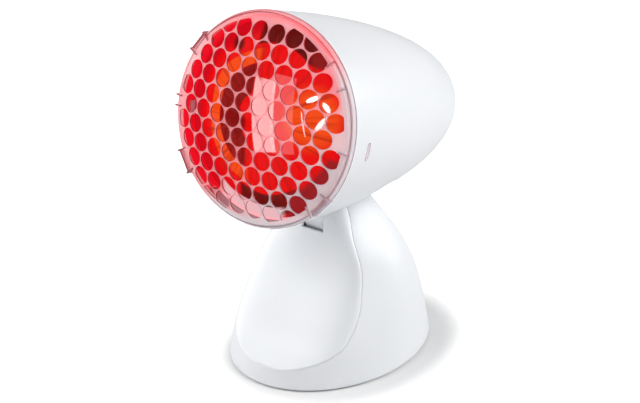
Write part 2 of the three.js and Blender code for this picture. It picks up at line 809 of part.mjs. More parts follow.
function holeOutlines() {
  const rows = 5;
  const outlines = [];
  for (let row = -rows; row <= rows; row += 1) {
    for (let column = -rows * 2; column <= rows * 2; column += 1) {
      const x = holePitch * (column + Math.abs(row % 2) / 2);
      const y = holePitch * Math.sqrt(3) / 2 * row;
      const centre = new THREE.Vector2(x, y);
      const atLatch = row === 0 && centre.length() > holeFieldRadius;
      if (atLatch || centre.length() > holeFieldRadius + holeDiameter / 8) continue;
      const points = [];
      for (let k = 0; k < holeSteps; k += 1) {
        const angle = fullTurn * (k + 0.5) / holeSteps;
        const point = new THREE.Vector2(Math.cos(angle), Math.sin(angle)).multiplyScalar(holeDiameter / 2).add(centre);
        if (point.length() > holeFieldRadius) point.setLength(holeFieldRadius);
        points.push(point);
      }
      outlines.push(points);
    }
  }
  return outlines;
}

const rimInner = holeFieldRadius + 0.9;
const rimLip = 0.6;

function grilleDisc() {
  const shape = new THREE.Shape();
  shape.absarc(0, 0, rimInner + 0.4, 0, fullTurn);
  shape.holes = holeOutlines().map((points) => new THREE.Path(points));
  const geometry = new THREE.ExtrudeGeometry(shape, {
    depth: grilleThickness, bevelEnabled: false, curveSegments: roundSteps / 2,
  });
  const position = geometry.attributes.position;
  for (let k = 0; k < position.count; k += 1) {
    const [x, z, depth] = [position.getX(k), position.getY(k), position.getZ(k)];
    position.setXYZ(k, x, depth - domeHeight(Math.hypot(x, z)), z);
  }
  return solidOf(geometry);
}

function grille() {
  const edge = -domeHeight(rimInner);
  const outerRadius = ringRadius + rimLip;
  const collarRadius = headRadius(0, headWall) - fitGap;
  const rim = turned('y', [
    [rimInner, edge - 0.2],
    [rimInner + 1.4, edge],
    [outerRadius - 1, edge * 0.45],
    [outerRadius, edge * 0.2],
    [outerRadius, -touchGap],
    [collarRadius, -touchGap],
    [collarRadius - 0.2, grilleCollarDepth],
    [collarRadius - 1.4, grilleCollarDepth],
    [collarRadius - 1.4, edge / 2],
    [rimInner, edge + grilleThickness + 0.2],
    [rimInner, edge - 0.2],
  ], roundSteps);
  const slits = slitAngles().map((angle) => block(
    rimInner + 0.7, outerRadius - 1.2, edge - overrun, edge * 0.55, -0.5, 0.5,
    new THREE.Matrix4().makeRotationY(-angle * degree),
  ));
  const latches = [-1, 1].map((side) => {
    const turn = side > 0 ? sideSlitDegrees : Math.PI / degree - sideSlitDegrees;
    const matrix = new THREE.Matrix4().makeRotationY(turn * degree);
    const reach = sideSlitDepthFromRing + sideSlitWidth / 2 - touchGap * 2;
    const outside = headRadius(reach, headWall) - fitGap * 2;
    return join(
      block(outside - latchThickness, outside, grilleCollarDepth / 2, reach, -latchWidth / 2, latchWidth / 2, matrix),
      block(
        outside - latchThickness / 2, outside + latchHookHeight, reach - sideSlitWidth + touchGap * 3, reach,
        -latchWidth / 2, latchWidth / 2, matrix,
      ),
    );
  });
  return cut(join(grilleDisc(), rim, ...latches), ...slits);
}

function slitAngles() {
  return [30, 45, -30, -45, 135, 150, -135, -150];
}

// Bulb: distances along the head run from the front of the lens
const bulbRimStart = lensStart + bulbRimDepth;
const bulbRimEnd = bulbRimStart + bulbRimWidth;
const bulbCupEnd = capStart - bulbNeckLength;
const cupShares = [1, 0.75, 0.5, 0.3, 0.14, 0.04];

function cupRadius(share) {
  return bulbNeckRadius + (bulbRadius - bulbNeckRadius) * Math.sqrt(share);
}

function bulbReflector() {
  const outer = cupShares.map((share) => [cupRadius(share), bulbCupEnd - (bulbCupEnd - bulbRimEnd) * share]);
  const inner = outer.map(([r, y]) => [r - bulbWall, y]).reverse();
  return turned('y', [
    [bulbRadius - bulbWall, bulbRimStart + touchGap],
    [bulbRadius, bulbRimStart + touchGap],
    ...outer,
    [bulbNeckRadius, capStart - touchGap],
    [bulbNeckRadius - bulbWall, capStart - touchGap],
    ...inner,
    [bulbRadius - bulbWall, bulbRimStart + touchGap],
  ], smallSteps * 2);
}

function bulbLens() {
  const steps = 4;
  const pairs = [[0, lensStart]];
  for (let k = 1; k <= steps; k += 1) {
    const share = k / steps;
    pairs.push([bulbRadius * share, lensStart + (bulbRimStart - bulbWall - lensStart) * share ** 3]);
  }
  pairs.push([bulbRadius, bulbRimStart]);
  for (let k = steps - 1; k >= 1; k -= 1) {
    const share = k / steps;
    pairs.push([(bulbRadius - bulbWall) * share, lensStart + bulbWall + (bulbRimStart - bulbWall - lensStart) * share ** 3]);
  }
  pairs.push([0, lensStart + bulbWall]);
  return turned('y', pairs, smallSteps * 2);
}

function bulbCap() {
  const pairs = [[0, capStart + 2], [capRadius - 1, capStart + 2], [capRadius - 1, capStart], [capRadius, capStart]];
  const threads = 4;
  const step = (capLength - 6) / threads;
  for (let k = 0; k < threads; k += 1) {
    pairs.push([capRadius, capStart + 3 + step * (k + 0.25)], [capRadius - 0.9, capStart + 3 + step * (k + 0.75)]);
  }
  pairs.push([capRadius - 1, capStart + capLength - 3], [capRadius / 2, capStart + capLength], [0, capStart + capLength]);
  return turned('y', pairs, smallSteps);
}

function bulbContact() {
  const start = capStart + capLength + touchGap;
  return turned('y', [[0, start], [4.4, start], [3.4, start + 2.4], [0, start + 3]], screwSteps);
}

const filamentShare = 0.62;
const filamentAlong = bulbRimEnd + (bulbCupEnd - bulbRimEnd) * filamentShare;
const filamentHalf = 9;
const stemRadius = 5;
const stemTip = 14;
const stemFlare = 24;
const supportRadius = 0.5;
const filamentRadius = 0.7;

function bulbStem() {
  const mount = turned('y', [
    [0, filamentAlong + stemTip],
    [stemRadius / 2, filamentAlong + stemTip],
    [stemRadius, filamentAlong + stemFlare],
    [bulbNeckRadius - bulbWall - touchGap, capStart - stemRadius / 2],
    [bulbNeckRadius - bulbWall - touchGap, capStart - touchGap],
    [0, capStart - touchGap],
  ], smallSteps);
  const supports = [-1, 1].map((side) => wire([
    [side * stemRadius / 4, filamentAlong + stemTip + stemRadius / 2, 0],
    [side * stemRadius, filamentAlong + filamentHalf, 0],
    [side * (filamentHalf - supportRadius), filamentAlong + supportRadius * 2, 0],
  ], supportRadius));
  return join(mount, ...supports);
}

function bulbFilament() {
  const points = [];
  const waves = 4;
  for (let k = 0; k <= waves * 2; k += 1) {
    const x = -filamentHalf + filamentHalf * 2 * k / (waves * 2);
    points.push([x, filamentAlong - touchGap - (k % 2) * filamentHalf / 3, 0]);
  }
  return wire(points, filamentRadius);
}

const holderStart = capStart + 1;
const holderEnd = bracketAlong - touchGap;
const sleeveWall = 0.7;

function holderBody() {
  const innerRadius = holderRadius - holderWall;
  return turned('y', [
    [innerRadius, holderStart],
    [holderRadius, holderStart],
    [holderRadius, holderEnd - 3],
    [holderRadius - 3, holderEnd],
    [2, holderEnd],
    [2, holderEnd - holderWall],
    [innerRadius, holderEnd - holderWall],
    [innerRadius, holderStart],
  ], smallSteps + 8);
}

function holderSleeve() {
  const outside = holderRadius - holderWall - touchGap;
  return turned('y', [
    [outside - sleeveWall, holderStart + 4],
    [outside, holderStart + 4],
    [outside, holderEnd - holderWall - touchGap * 2],
    [outside - sleeveWall, holderEnd - holderWall - touchGap * 2],
    [outside - sleeveWall, holderStart + 4],
  ], smallSteps + 4);
}

function holderContact() {
  const back = holderEnd - holderWall - touchGap;
  const front = capStart + capLength + 3 + touchGap * 3;
  const strip = sideSlab([
    [back, -6],
    [back - 1, -6],
    [front, -1],
    [front, 3],
    [front + 1, 3],
    [front + 1, -0.6],
    [back, -5],
  ], -2.5, 2.5);
  return strip;
}

function holderBracket() {
  const start = bracketAlong;
  const plate = block(
    -bracketHalfLength, bracketHalfLength, start, start + bracketThickness, -bracketWidth / 2, bracketWidth / 2,
  );
  const bores = [-1, 1].map((side) => (
    rod('y', screwRadius + touchGap, start - overrun, start + overrun, screwSteps, [side * bracketBossX, 0, 0])
  ));
  const middle = rod('y', 2.5, start - overrun, start + overrun, screwSteps);
  return cut(plate, middle, ...bores);
}

function bracketScrew(side) {
  const seat = bracketAlong - touchGap;
  return turned('y', [
    [0, seat - screwHeadHeight],
    [screwHeadRadius, seat - screwHeadHeight],
    [screwHeadRadius, seat],
    [screwRadius, seat],
    [screwRadius, seat + overrun - 1],
    [0, seat + overrun - 1],
  ], screwSteps, [side * bracketBossX, 0, 0]);
}

// The tongue hangs from a foot inside the saddle and ends in the barrel that the pin goes through
const footSpread = 20;
const tongueTop = saddleRadius + saddleWall + 2.7;
const tongueScrewX = slotWidth * 0.78;

function headTongue() {
  const arcSteps = 8;
  const bottomRadius = saddleRadius + saddleWall + touchGap;
  const foot = [];
  for (let k = 0; k <= arcSteps; k += 1) {
    const angle = (-footSpread + footSpread * 2 * k / arcSteps) * degree;
    foot.push([bottomRadius * Math.sin(angle), bottomRadius * Math.cos(angle)]);
  }
  foot.push([foot[arcSteps][0], tongueTop], [foot[0][0], tongueTop]);
  const flange = sideSlab(foot, -slotWidth, slotWidth, uprightTurn);
  const low = -slotWidth / 2 + touchGap + discThickness / 2 + touchGap;
  const high = slotWidth / 2 - touchGap * 2 - discThickness;
  const web = block(low, high, -webThickness / 2, webThickness / 2, 0, tongueTop - touchGap, uprightTurn);
  const knuckle = rod('x', knuckleRadius, low, high, roundSteps - smallSteps / 2, [0, 0, 0], uprightTurn);
  const pinBore = rod('x', pinRadius + touchGap, -overrun, overrun, smallSteps, [0, 0, 0], uprightTurn);
  return cut(join(flange, web, knuckle), pinBore, ...[-1, 1].map(tongueScrewBore));
}

function tongueScrewBore(side) {
  return rod('z', screwRadius + touchGap, 0, ringRadius, screwSteps, [side * tongueScrewX, 0, 0], uprightTurn);
}

function tongueScrew(side) {
  const seat = tongueTop + touchGap;
  return turned('z', [
    [0, saddleRadius + touchGap],
    [screwRadius, saddleRadius + touchGap],
    [screwRadius, seat],
    [screwHeadRadius, seat],
    [screwHeadRadius, seat + screwHeadHeight],
    [0, seat + screwHeadHeight],
  ], screwSteps, [side * tongueScrewX, 0, 0], uprightTurn);
}

function headLead() {
  const start = holderEnd + touchGap;
  return wire([
    [0, start, 0],
    [0, start + leadRadius * 3, 0],
    [0, start + leadRadius * 5, -leadRadius * 3],
    [0, start + leadRadius * 2, -holderRadius],
    [0, hingeLocal.y + webThickness * 2.6, -holderRadius - leadRadius * 4],
    [0, hingeLocal.y + webThickness * 1.9, hingeLocal.z + saddleRadius + saddleWall * 3],
  ], leadRadius);
}

const shieldRadius = 29;
const shieldDish = 8;
const shieldThickness = 0.8;

// The heat shield is a dished ring of sheet metal on the front of the lampholder, behind the bulb's cup
function heatShield() {
  const back = holderStart - touchGap;
  return turned('y', [
    [holderRadius - holderWall, back],
    [holderRadius - holderWall, back - shieldThickness],
    [holderRadius, back - shieldThickness],
    [shieldRadius, back - shieldThickness - shieldDish],
    [shieldRadius, back - shieldDish],
    [holderRadius, back],
    [holderRadius - holderWall, back],
  ], smallSteps * 2);
}

function baseGroup() {
  const group = new THREE.Group();
  group.add(
    piece('base_rear_shell', baseRearShell(), whitePlastic),
    piece('base_front_cover', baseFrontCover(), whitePlastic),
    piece('base_plate', basePlate(), greyPlastic),
    piece('neck_fork', neckFork(), steel),
    piece('hinge_pin', hingePin(), steel),
    piece('hinge_nut', hingeNut(), steel),
    piece('detent_disc', detentDisc(), steel),
    piece('friction_washer', frictionWasher(), steel),
    piece('cable_bush', cableBush(), darkRubber),
    piece('terminal_block', terminalBlock(), ceramic),
    piece('cord_clamp', cordClamp(), greyPlastic),
    piece('base_lead', baseLead(), wireCover),
  );
  const names = ['front_left', 'front_right', 'back_left', 'back_right'];
  screwSpots.forEach((spot, k) => {
    group.add(piece(`foot_${names[k]}`, rubberFoot(spot), darkRubber));
    group.add(piece(`plate_screw_${names[k]}`, plateScrew(plateScrewPlace(spot)), steel));
  });
  postSides.forEach((side) => {
    const name = side < 0 ? 'left' : 'right';
    group.add(piece(`fork_post_${name}`, forkPost(side), steel));
    group.add(piece(`post_screw_${name}`, plateScrew(postPlace(side)), steel));
    group.add(piece(`fork_screw_${name}`, forkScrew(side), steel));
  });
  const switchGroup = new THREE.Group();
  switchGroup.applyMatrix4(switchFrame);
  switchGroup.add(piece('switch_housing', switchHousing(), darkRubber));
  switchGroup.add(piece('switch_rocker', switchRocker(), darkRubber));
  group.add(switchGroup);
  return group;
}

function headGroup() {
  const group = new THREE.Group();
  group.position.copy(ringPlace);
  group.rotation.x = -headTilt;
  group.add(
    piece('head_housing', headHousing(), whitePlastic),
    piece('front_grille', grille(), clearPlastic),
    piece('bulb_reflector', bulbReflector(), redGlass),
    piece('bulb_lens', bulbLens(), redGlass),
    piece('bulb_cap', bulbCap(), brass),
    piece('bulb_contact', bulbContact(), brass),
    piece('bulb_stem', bulbStem(), clearPlastic),
    piece('bulb_filament', bulbFilament(), steel),
    piece('holder_body', holderBody(), ceramic),
    piece('holder_sleeve', holderSleeve(), brass),
    piece('holder_contact', holderContact(), brass),
    piece('holder_bracket', holderBracket(), steel),
    piece('bracket_screw_left', bracketScrew(-1), steel),
    piece('bracket_screw_right', bracketScrew(1), steel),
    piece('heat_shield', heatShield(), aluminium),
    piece('head_tongue', headTongue(), greyPlastic),
    piece('tongue_screw_left', tongueScrew(-1), steel),
    piece('tongue_screw_right', tongueScrew(1), steel),
    piece('head_lead', headLead(), wireCover),
  );
  return group;
}

// How far the middle of the whole lamp lies behind the middle of its base
function middleBack(group) {
  const box = new THREE.Box3().setFromObject(group, true);
  return (box.min.y + box.max.y) / 2;
}

const lamp = new THREE.Group();
lamp.add(baseGroup(), headGroup());
lamp.position.y = -middleBack(lamp);
lamp.updateMatrixWorld(true);

export default lamp;
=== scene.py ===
"""Infrared heat therapy lamp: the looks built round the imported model, in metres."""

import json
import math
from collections import namedtuple

import bpy
from mathutils import Matrix, Vector


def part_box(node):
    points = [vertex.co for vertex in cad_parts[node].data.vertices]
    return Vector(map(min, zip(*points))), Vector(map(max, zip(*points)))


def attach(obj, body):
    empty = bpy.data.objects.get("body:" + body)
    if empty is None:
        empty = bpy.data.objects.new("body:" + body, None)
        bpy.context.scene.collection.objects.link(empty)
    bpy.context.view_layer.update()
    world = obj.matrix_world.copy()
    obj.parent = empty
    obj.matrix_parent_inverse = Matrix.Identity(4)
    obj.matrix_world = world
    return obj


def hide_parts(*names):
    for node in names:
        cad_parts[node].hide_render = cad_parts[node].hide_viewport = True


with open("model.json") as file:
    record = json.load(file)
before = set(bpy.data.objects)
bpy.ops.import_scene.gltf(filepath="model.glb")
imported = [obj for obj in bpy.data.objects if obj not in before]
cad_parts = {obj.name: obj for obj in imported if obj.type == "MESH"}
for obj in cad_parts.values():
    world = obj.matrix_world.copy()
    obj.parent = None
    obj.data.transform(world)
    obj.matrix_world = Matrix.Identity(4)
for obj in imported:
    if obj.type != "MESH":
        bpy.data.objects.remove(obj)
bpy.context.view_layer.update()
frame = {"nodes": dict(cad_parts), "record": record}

bl_info = {
    "name": "Infrared heat therapy lamp",
    "version": (1, 0, 0),
    "blender": (4, 5, 0),
    "location": "3D View > Sidebar > Heat lamp",
    "description": "Builds the shells, guard, bulb, fittings and stage of a tilting infrared lamp",
    "category": "Add Mesh",
}

JOINTS = {joint["name"]: Vector(joint["pos_m"]) for joint in frame["record"]["behaviour"]["joints"]}
HINGE, SWITCH_JOINT = JOINTS["head_tilt"], JOINTS["switch_throw"]
MM = 0.001
# Cutters run this far, past anything that they cut
FAR = 0.2


# Shared ways of working in edit mode

def clear_selection():
    bpy.ops.object.select_all(action="DESELECT")


def choose(piece):
    clear_selection()
    piece.select_set(True)
    bpy.context.view_layer.objects.active = piece


def open_mesh(piece):
    """Opens the piece in edit mode with all of it selected."""
    choose(piece)
    bpy.ops.object.mode_set(mode="EDIT")
    bpy.ops.mesh.select_all(action="SELECT")


def leave():
    bpy.ops.object.mode_set(mode="OBJECT")


def chain(name, points):
    """A bare line of edges through the points, drawn out from a single vertex."""
    bpy.ops.mesh.primitive_plane_add(size=MM, enter_editmode=True, location=(0, 0, 0))
    bpy.ops.mesh.merge(type="CENTER")
    bpy.ops.transform.translate(value=points[0])
    for before, after in zip(points, points[1:]):
        step = Vector(after) - Vector(before)
        bpy.ops.mesh.extrude_region_move(TRANSFORM_OT_translate={"value": step})
    leave()
    piece = bpy.context.object
    piece.name = piece.data.name = name
    return piece


def turned(name, profile, sides):
    """A form turned about Z from pairs of radius and height."""
    piece = chain(name, [(radius, 0, height) for radius, height in profile])
    open_mesh(piece)
    bpy.ops.mesh.spin(steps=sides, angle=2 * math.pi, center=(0, 0, 0), axis=(0, 0, 1))
    tidy_up()
    return piece


def rod(name, radius, low, high, sides):
    return turned(name, [(0, low), (radius, low), (radius, high), (0, high)], sides)


def tidy_up():
    """Merges what lies double, turns the faces outwards and leaves edit mode."""
    bpy.ops.mesh.select_all(action="SELECT")
    bpy.ops.mesh.remove_doubles(threshold=0.00001)
    bpy.ops.mesh.normals_make_consistent(inside=False)
    leave()


def ovals(name, rings, sides):
    """A closed form through level oval rings, each given as half width, half depth, middle and height."""
    bpy.ops.mesh.primitive_circle_add(vertices=sides, radius=1, enter_editmode=True, location=(0, 0, 0))
    wide, deep, middle, height = rings[0]
    bpy.ops.transform.resize(value=(wide, deep, 1), center_override=(0, 0, 0))
    bpy.ops.transform.translate(value=(0, middle, height))
    bpy.ops.mesh.edge_face_add()
    bpy.ops.mesh.duplicate()
    bpy.ops.mesh.delete(type="ONLY_FACE")
    piece = bpy.context.object
    leave()
    first_of_copy = len(piece.data.vertices) - sides
    for index, vertex in enumerate(piece.data.vertices):
        vertex.select = index >= first_of_copy
    bpy.ops.object.mode_set(mode="EDIT")
    for before, after in zip(rings, rings[1:]):
        step = (0, after[2] - before[2], after[3] - before[3])
        bpy.ops.mesh.extrude_region_move(TRANSFORM_OT_translate={"value": step})
        bpy.ops.transform.resize(
            value=(after[0] / before[0], after[1] / before[1], 1), center_override=(0, after[2], after[3]))
    bpy.ops.mesh.edge_face_add()
    tidy_up()
    piece.name = piece.data.name = name
    return piece


def slab(name, outline, x0, x1):
    """A side-view outline in Y and Z, carried across from x0 to x1."""
    piece = chain(name, [(x0, y, z) for y, z in outline])
    open_mesh(piece)
    bpy.ops.mesh.edge_face_add()
    bpy.ops.mesh.extrude_region_move(TRANSFORM_OT_translate={"value": (x1 - x0, 0, 0)})
    tidy_up()
    return piece


def boxed(name, low, high):
    outline = [(low[1], low[2]), (high[1], low[2]), (high[1], high[2]), (low[1], high[2])]
    return slab(name, outline, low[0], high[0])


def block(name, half_sides, y0, y1):
    """A box that lies evenly about the Y axis, given its half sizes in X and Z."""
    across, up = half_sides
    return boxed(name, (-across, y0, -up), (across, y1, up))


def barrel(name, radius, x0=-FAR, x1=FAR, sides=96, centre=(HINGE.y, HINGE.z)):
    """A barrel that lies across, about the axis that the head tilts on if no centre is given."""
    outline = [(centre[0] + radius * math.cos(a), centre[1] + radius * math.sin(a))
               for a in (2 * math.pi * k / sides for k in range(sides))]
    return slab(name, outline, x0, x1)


def put(piece, matrix):
    """Moves a finished mesh, and leaves its object at the origin."""
    choose(piece)
    piece.matrix_world = matrix
    bpy.ops.object.transform_apply(location=True, rotation=True, scale=True)
    return piece


def joined(name, pieces):
    clear_selection()
    for piece in pieces:
        piece.select_set(True)
    bpy.context.view_layer.objects.active = pieces[0]
    bpy.ops.object.join()
    pieces[0].name = pieces[0].data.name = name
    return pieces[0]


def carve(piece, tool, operation="DIFFERENCE"):
    choose(piece)
    modifier = piece.modifiers.new("Carve", "BOOLEAN")
    modifier.operation = operation
    modifier.solver = "EXACT"
    modifier.object = tool
    bpy.ops.object.modifier_apply(modifier="Carve")
    bpy.data.objects.remove(tool)
    return piece


def rounded(piece, width, segments=2, angle=40):
    choose(piece)
    modifier = piece.modifiers.new("Round", "BEVEL")
    modifier.width = width
    modifier.segments = segments
    modifier.limit_method = "ANGLE"
    modifier.angle_limit = math.radians(angle)
    bpy.ops.object.modifier_apply(modifier="Round")
    return piece


def eased(piece, width, corner=50, bend=35):
    """Rounds the corners past one angle, and shades as smooth what bends less than the other."""
    rounded(piece, width, 2, corner)
    bpy.ops.object.shade_smooth_by_angle(angle=math.radians(bend))
    return piece


def dressed(piece, finish):
    piece.data.materials.clear()
    piece.data.materials.append(FINISHES[finish])


def finished(piece, body, slot, *nodes):
    """Gives a piece its body, its slot with the finish of that name, and the CAD nodes it stands for."""
    dressed(piece, slot)
    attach(piece, body)
    if nodes:
        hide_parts(*nodes)


def curve_through(stations, values):
    """The same smooth curve that the solids follow."""
    last = len(stations) - 1

    def slope(k):
        low, high = max(k - 1, 0), min(k + 1, last)
        return (values[high] - values[low]) / (stations[high] - stations[low])

    def value(at):
        k = max(next((i for i, s in enumerate(stations) if s > at), last) - 1, 0)
        step = stations[k + 1] - stations[k]
        u = min(max((at - stations[k]) / step, 0), 1)
        rise = values[k + 1] - values[k]
        bend = (slope(k) * step - rise) * (1 - u) - (slope(k + 1) * step - rise) * u
        return values[k] + rise * u + u * (1 - u) * bend
    return value


# Finishes

class Wire:
    """A socket among the nodes, used in sums as a number is."""

    def __init__(self, nodes, socket):
        self.nodes, self.socket = nodes, socket

    def sum(self, operation, other):
        return self.nodes.node("ShaderNodeMath", {"operation": operation}, {0: self, 1: other})

    def __add__(self, other):
        return self.sum("ADD", other)

    def __sub__(self, other):
        return self.sum("SUBTRACT", other)

    def __mul__(self, other):
        return self.sum("MULTIPLY", other)


class Nodes:
    """A tree of nodes that grows by one method."""

    def __init__(self, tree):
        self.tree = tree

    def node(self, kind, settings=None, sockets=None, output=0):
        """A new node: its settings first, then the values or links of its sockets."""
        made = self.tree.nodes.new(kind)
        for key, value in (settings or {}).items():
            setattr(made, key, value)
        for key, value in (sockets or {}).items():
            self.join(value, made.inputs[key])
        return Wire(self, made.outputs[output])

    def join(self, value, socket):
        if isinstance(value, Wire):
            self.tree.links.new(value.socket, socket)
        else:
            socket.default_value = value


class Finish(Nodes):
    """A material made of nodes round one Principled shader."""

    def __init__(self, name, **settings):
        self.material = bpy.data.materials.new(name)
        self.material.use_nodes = True
        super().__init__(self.material.node_tree)
        self.shader = self.tree.nodes["Principled BSDF"]
        for socket, value in settings.items():
            self.shader.inputs[socket.replace("_", " ")].default_value = value

    def feed(self, socket, value):
        self.join(value, self.shader.inputs[socket])

    def place(self):
        return self.node("ShaderNodeTexCoord", output="Object")

    def noise(self, scale, detail=2.0, place=None):
        sockets = {"Vector": place or self.place(), "Scale": scale, "Detail": detail}
        return self.node("ShaderNodeTexNoise", None, sockets, "Fac")

    def blend(self, factor, first, second):
        sockets = {"Factor": factor, 6: first, 7: second}
        return self.node("ShaderNodeMix", {"data_type": "RGBA"}, sockets, 2)

    def part(self, vector, axis):
        return self.node("ShaderNodeSeparateXYZ", None, {"Vector": vector}, axis)

    def reach(self, vector):
        return self.node("ShaderNodeVectorMath", {"operation": "LENGTH"}, {0: vector}, "Value")

    def unsigned(self, value):
        return self.node("ShaderNodeMath", {"operation": "ABSOLUTE"}, {0: value})

    def ramp(self, value, low, high):
        """Nought at low, one at high, with a soft start and end; low may be the larger."""
        sockets = {"Value": value, "From Min": low, "From Max": high}
        return self.node("ShaderNodeMapRange", {"interpolation_type": "SMOOTHSTEP"}, sockets)

    def drift(self, colour, low, high, scale, detail=2.0):
        """The base colour in patches between two of its shades."""
        darker, paler = shade_of(colour, low), shade_of(colour, high)
        self.feed("Base Color", self.blend(self.noise(scale, detail), darker, paler))

    def skin(self, gloss, roughness, spread, relief, depth, strength):
        """Uneven gloss and a fine relief, each with the scale of its noise; gives the material."""
        self.feed("Roughness", self.noise(gloss) * spread + roughness)
        self.bump(self.noise(relief), depth, strength)
        return self.material

    def bump(self, height, distance, strength):
        sockets = {"Height": height, "Distance": distance, "Strength": strength}
        self.feed("Normal", self.node("ShaderNodeBump", None, sockets))


def shade_of(colour, factor):
    return tuple(channel * factor for channel in colour[:3]) + (1.0,)


def moulded(name, colour, roughness, grain=0.00002, spread=0.03, fineness=1400.0):
    """Moulded plastic: a faint drift of tone, uneven gloss and a fine skin."""
    finish = Finish(name)
    finish.drift(colour, 1 - spread, 1 + spread * 0.5, 18.0)
    return finish.skin(60.0, roughness - 0.04, 0.08, fineness, grain, 0.5)


def metal(name, colour, roughness, across=(1, 1, 1)):
    """Plated or drawn metal with fine lines and a few darker patches."""
    finish = Finish(name, Metallic=1.0)
    drawn = finish.node("ShaderNodeMapping", None, {"Vector": finish.place(), "Scale": across})
    lines = finish.noise(900.0, 3.0, drawn)
    finish.drift(colour, 0.8, 1.05, 90.0, 3.0)
    finish.feed("Roughness", lines * 0.2 + (roughness - 0.1))
    finish.bump(lines, 0.00001, 0.4)
    return finish.material


def glass(name, colour, roughness, ior):
    """Plain glass, a little clouded and wavy."""
    finish = Finish(name, Transmission_Weight=1.0, IOR=ior)
    finish.drift(colour, 0.97, 1.0, 60.0)
    return finish.skin(400.0, roughness, 0.03, 120.0, 0.00002, 0.5)


# How far right and how far down a place lies both count towards the guard's grey side
LEAN_ACROSS, LEAN_DOWN = 0.6, 0.5
RIM_START = (0.0605, 0.0620)


def guard_plastic(name, rosy, grey, alpha, glow=0.0):
    """Clear plastic with the bulb's red light painted in: a painted rosy tint and red glow over the top and
    the left, greyer towards the bottom right.
    """
    finish = Finish(name, Alpha=alpha, IOR=1.46, Emission_Strength=glow)
    x, z, flat = across_head(finish)
    rim = finish.ramp(finish.reach(flat), *RIM_START)
    lean = x * LEAN_ACROSS - z * LEAN_DOWN + rim * 0.018
    shift = finish.ramp(lean + finish.noise(60.0) * 0.006, 0.020, 0.040)
    finish.feed("Base Color", finish.blend(shift, rosy, grey))
    # A painted red glow of the bulb's light in the plastic, strongest on the rosy side
    finish.feed("Emission Color", finish.blend(shift, (0.30, 0.02, 0.03, 1), (0.02, 0.01, 0.01, 1)))
    return finish.skin(150.0, 0.12, 0.06, 110.0, 0.00002, 0.4)


# Tones for the lens's crimson edge and the painted red light on the wall, then for the lens's painted
# reflections and painted shade
CRIMSON, CRIMSON_WALL, PALE_WALL = (0.52, 0.003, 0.010, 1), (0.52, 0.003, 0.012, 1), (0.72, 0.44, 0.47, 1)
ORANGE, DARK, DEEP = (0.83, 0.07, 0.006, 1), (0.15, 0.005, 0.004, 1), (0.05, 0.004, 0.003, 1)
BLACK = (0, 0, 0, 1)


def lens_glow_painted_reflections(name, colour):
    """Red stained glass whose emission stands for the bulb's glow, with painted reflections of the mirrored
    cup laid over it as bands, patches and streaks.
    """
    finish = Finish(name, IOR=LENS_IOR, Emission_Strength=LENS_GLOW, Specular_IOR_Level=LENS_GLOSS)
    x, z, flat = across_head(finish)
    ramp, steep = finish.ramp, finish.unsigned(z)
    wander = finish.noise(28.0, 1.0) * 0.006 - 0.003
    away = finish.reach(flat) + wander

    def band(middle, half):
        """A ring about the middle of the glass."""
        return ramp(finish.unsigned(away - middle), half + 0.0007, half - 0.0007)

    def patch(cx, cz, radius, soft=0.002):
        """A round patch, from its middle across and up."""
        offset = finish.node("ShaderNodeVectorMath", {"operation": "SUBTRACT"}, {0: flat, 1: (cx, 0, cz)})
        return ramp(finish.reach(offset) + wander, radius + soft, radius - soft)

    # Masks for the painted streaks, the painted shade along the edge and low on the right, and the painted
    # reflection of the pale wall at the bottom
    ray = finish.node("ShaderNodeVectorMath", {"operation": "NORMALIZE"}, {0: flat})
    rays = ramp(finish.noise(11.0, 2.0, ray), 0.46, 0.68)
    dark_edge = band(0.0525, 0.0062) * ramp(x, -0.016, -0.012) * ramp(x, 0.036, 0.030)
    low_right = ramp(away, 0.045, 0.050) * ramp(z, -0.012, -0.016) * ramp(x, 0.018, 0.024)
    shoulder = ramp(x, -0.032, -0.027) * ramp(x, 0.021, 0.014) * ramp(z, -0.030, -0.036)
    glow = colour
    # Each layer's mask and colour, from the lowest to the topmost
    for mask, tone in (
        # The crimson edge, then painted reflections of the cup: the orange patch on the right and the orange
        # arc on the left
        (ramp(away, 0.049, 0.056), CRIMSON),
        (patch(0.034, 0.008, 0.017, 0.006), ORANGE),
        (band(0.0395, 0.0042) * ramp(x, -0.006, -0.013), ORANGE),
        # Painted reflections: the dark arc inside the orange one, and the dark patch at its middle
        (band(0.0265, 0.0085) * ramp(x, -0.009, -0.012), DARK),
        (patch(-0.021, -0.006, 0.008), (0.12, 0.005, 0.005, 1)),
        # Painted shade: the edge's darkest stretches at the top and bottom, and its shade low on the right
        (dark_edge * ramp(steep, 0.036, 0.040), DEEP),
        (low_right, (0.24, 0.011, 0.014, 1)),
        # Painted reflections: a dark patch high on the left and one high on the right
        (patch(-0.029, 0.0405, 0.005), DEEP),
        (patch(0.031, 0.044, 0.007), (0.18, 0.008, 0.008, 1)),
        # A painted reflection of the pale wall at the bottom, and painted streaks of the cup's facets that
        # run outwards
        (shoulder * ramp(away, 0.0535, 0.0550), (0.75, 0.47, 0.50, 1)),
        (rays * ramp(away, 0.012, 0.030) * ramp(away, 0.053, 0.045) * 0.6, (0.30, 0.010, 0.005, 1)),
    ):
        glow = finish.blend(mask, glow, tone)
    finish.feed("Emission Color", glow)
    finish.drift(colour, 0.02, 0.05, 70.0)
    return finish.skin(200.0, 0.02, 0.02, 90.0, 0.00001, 0.3)


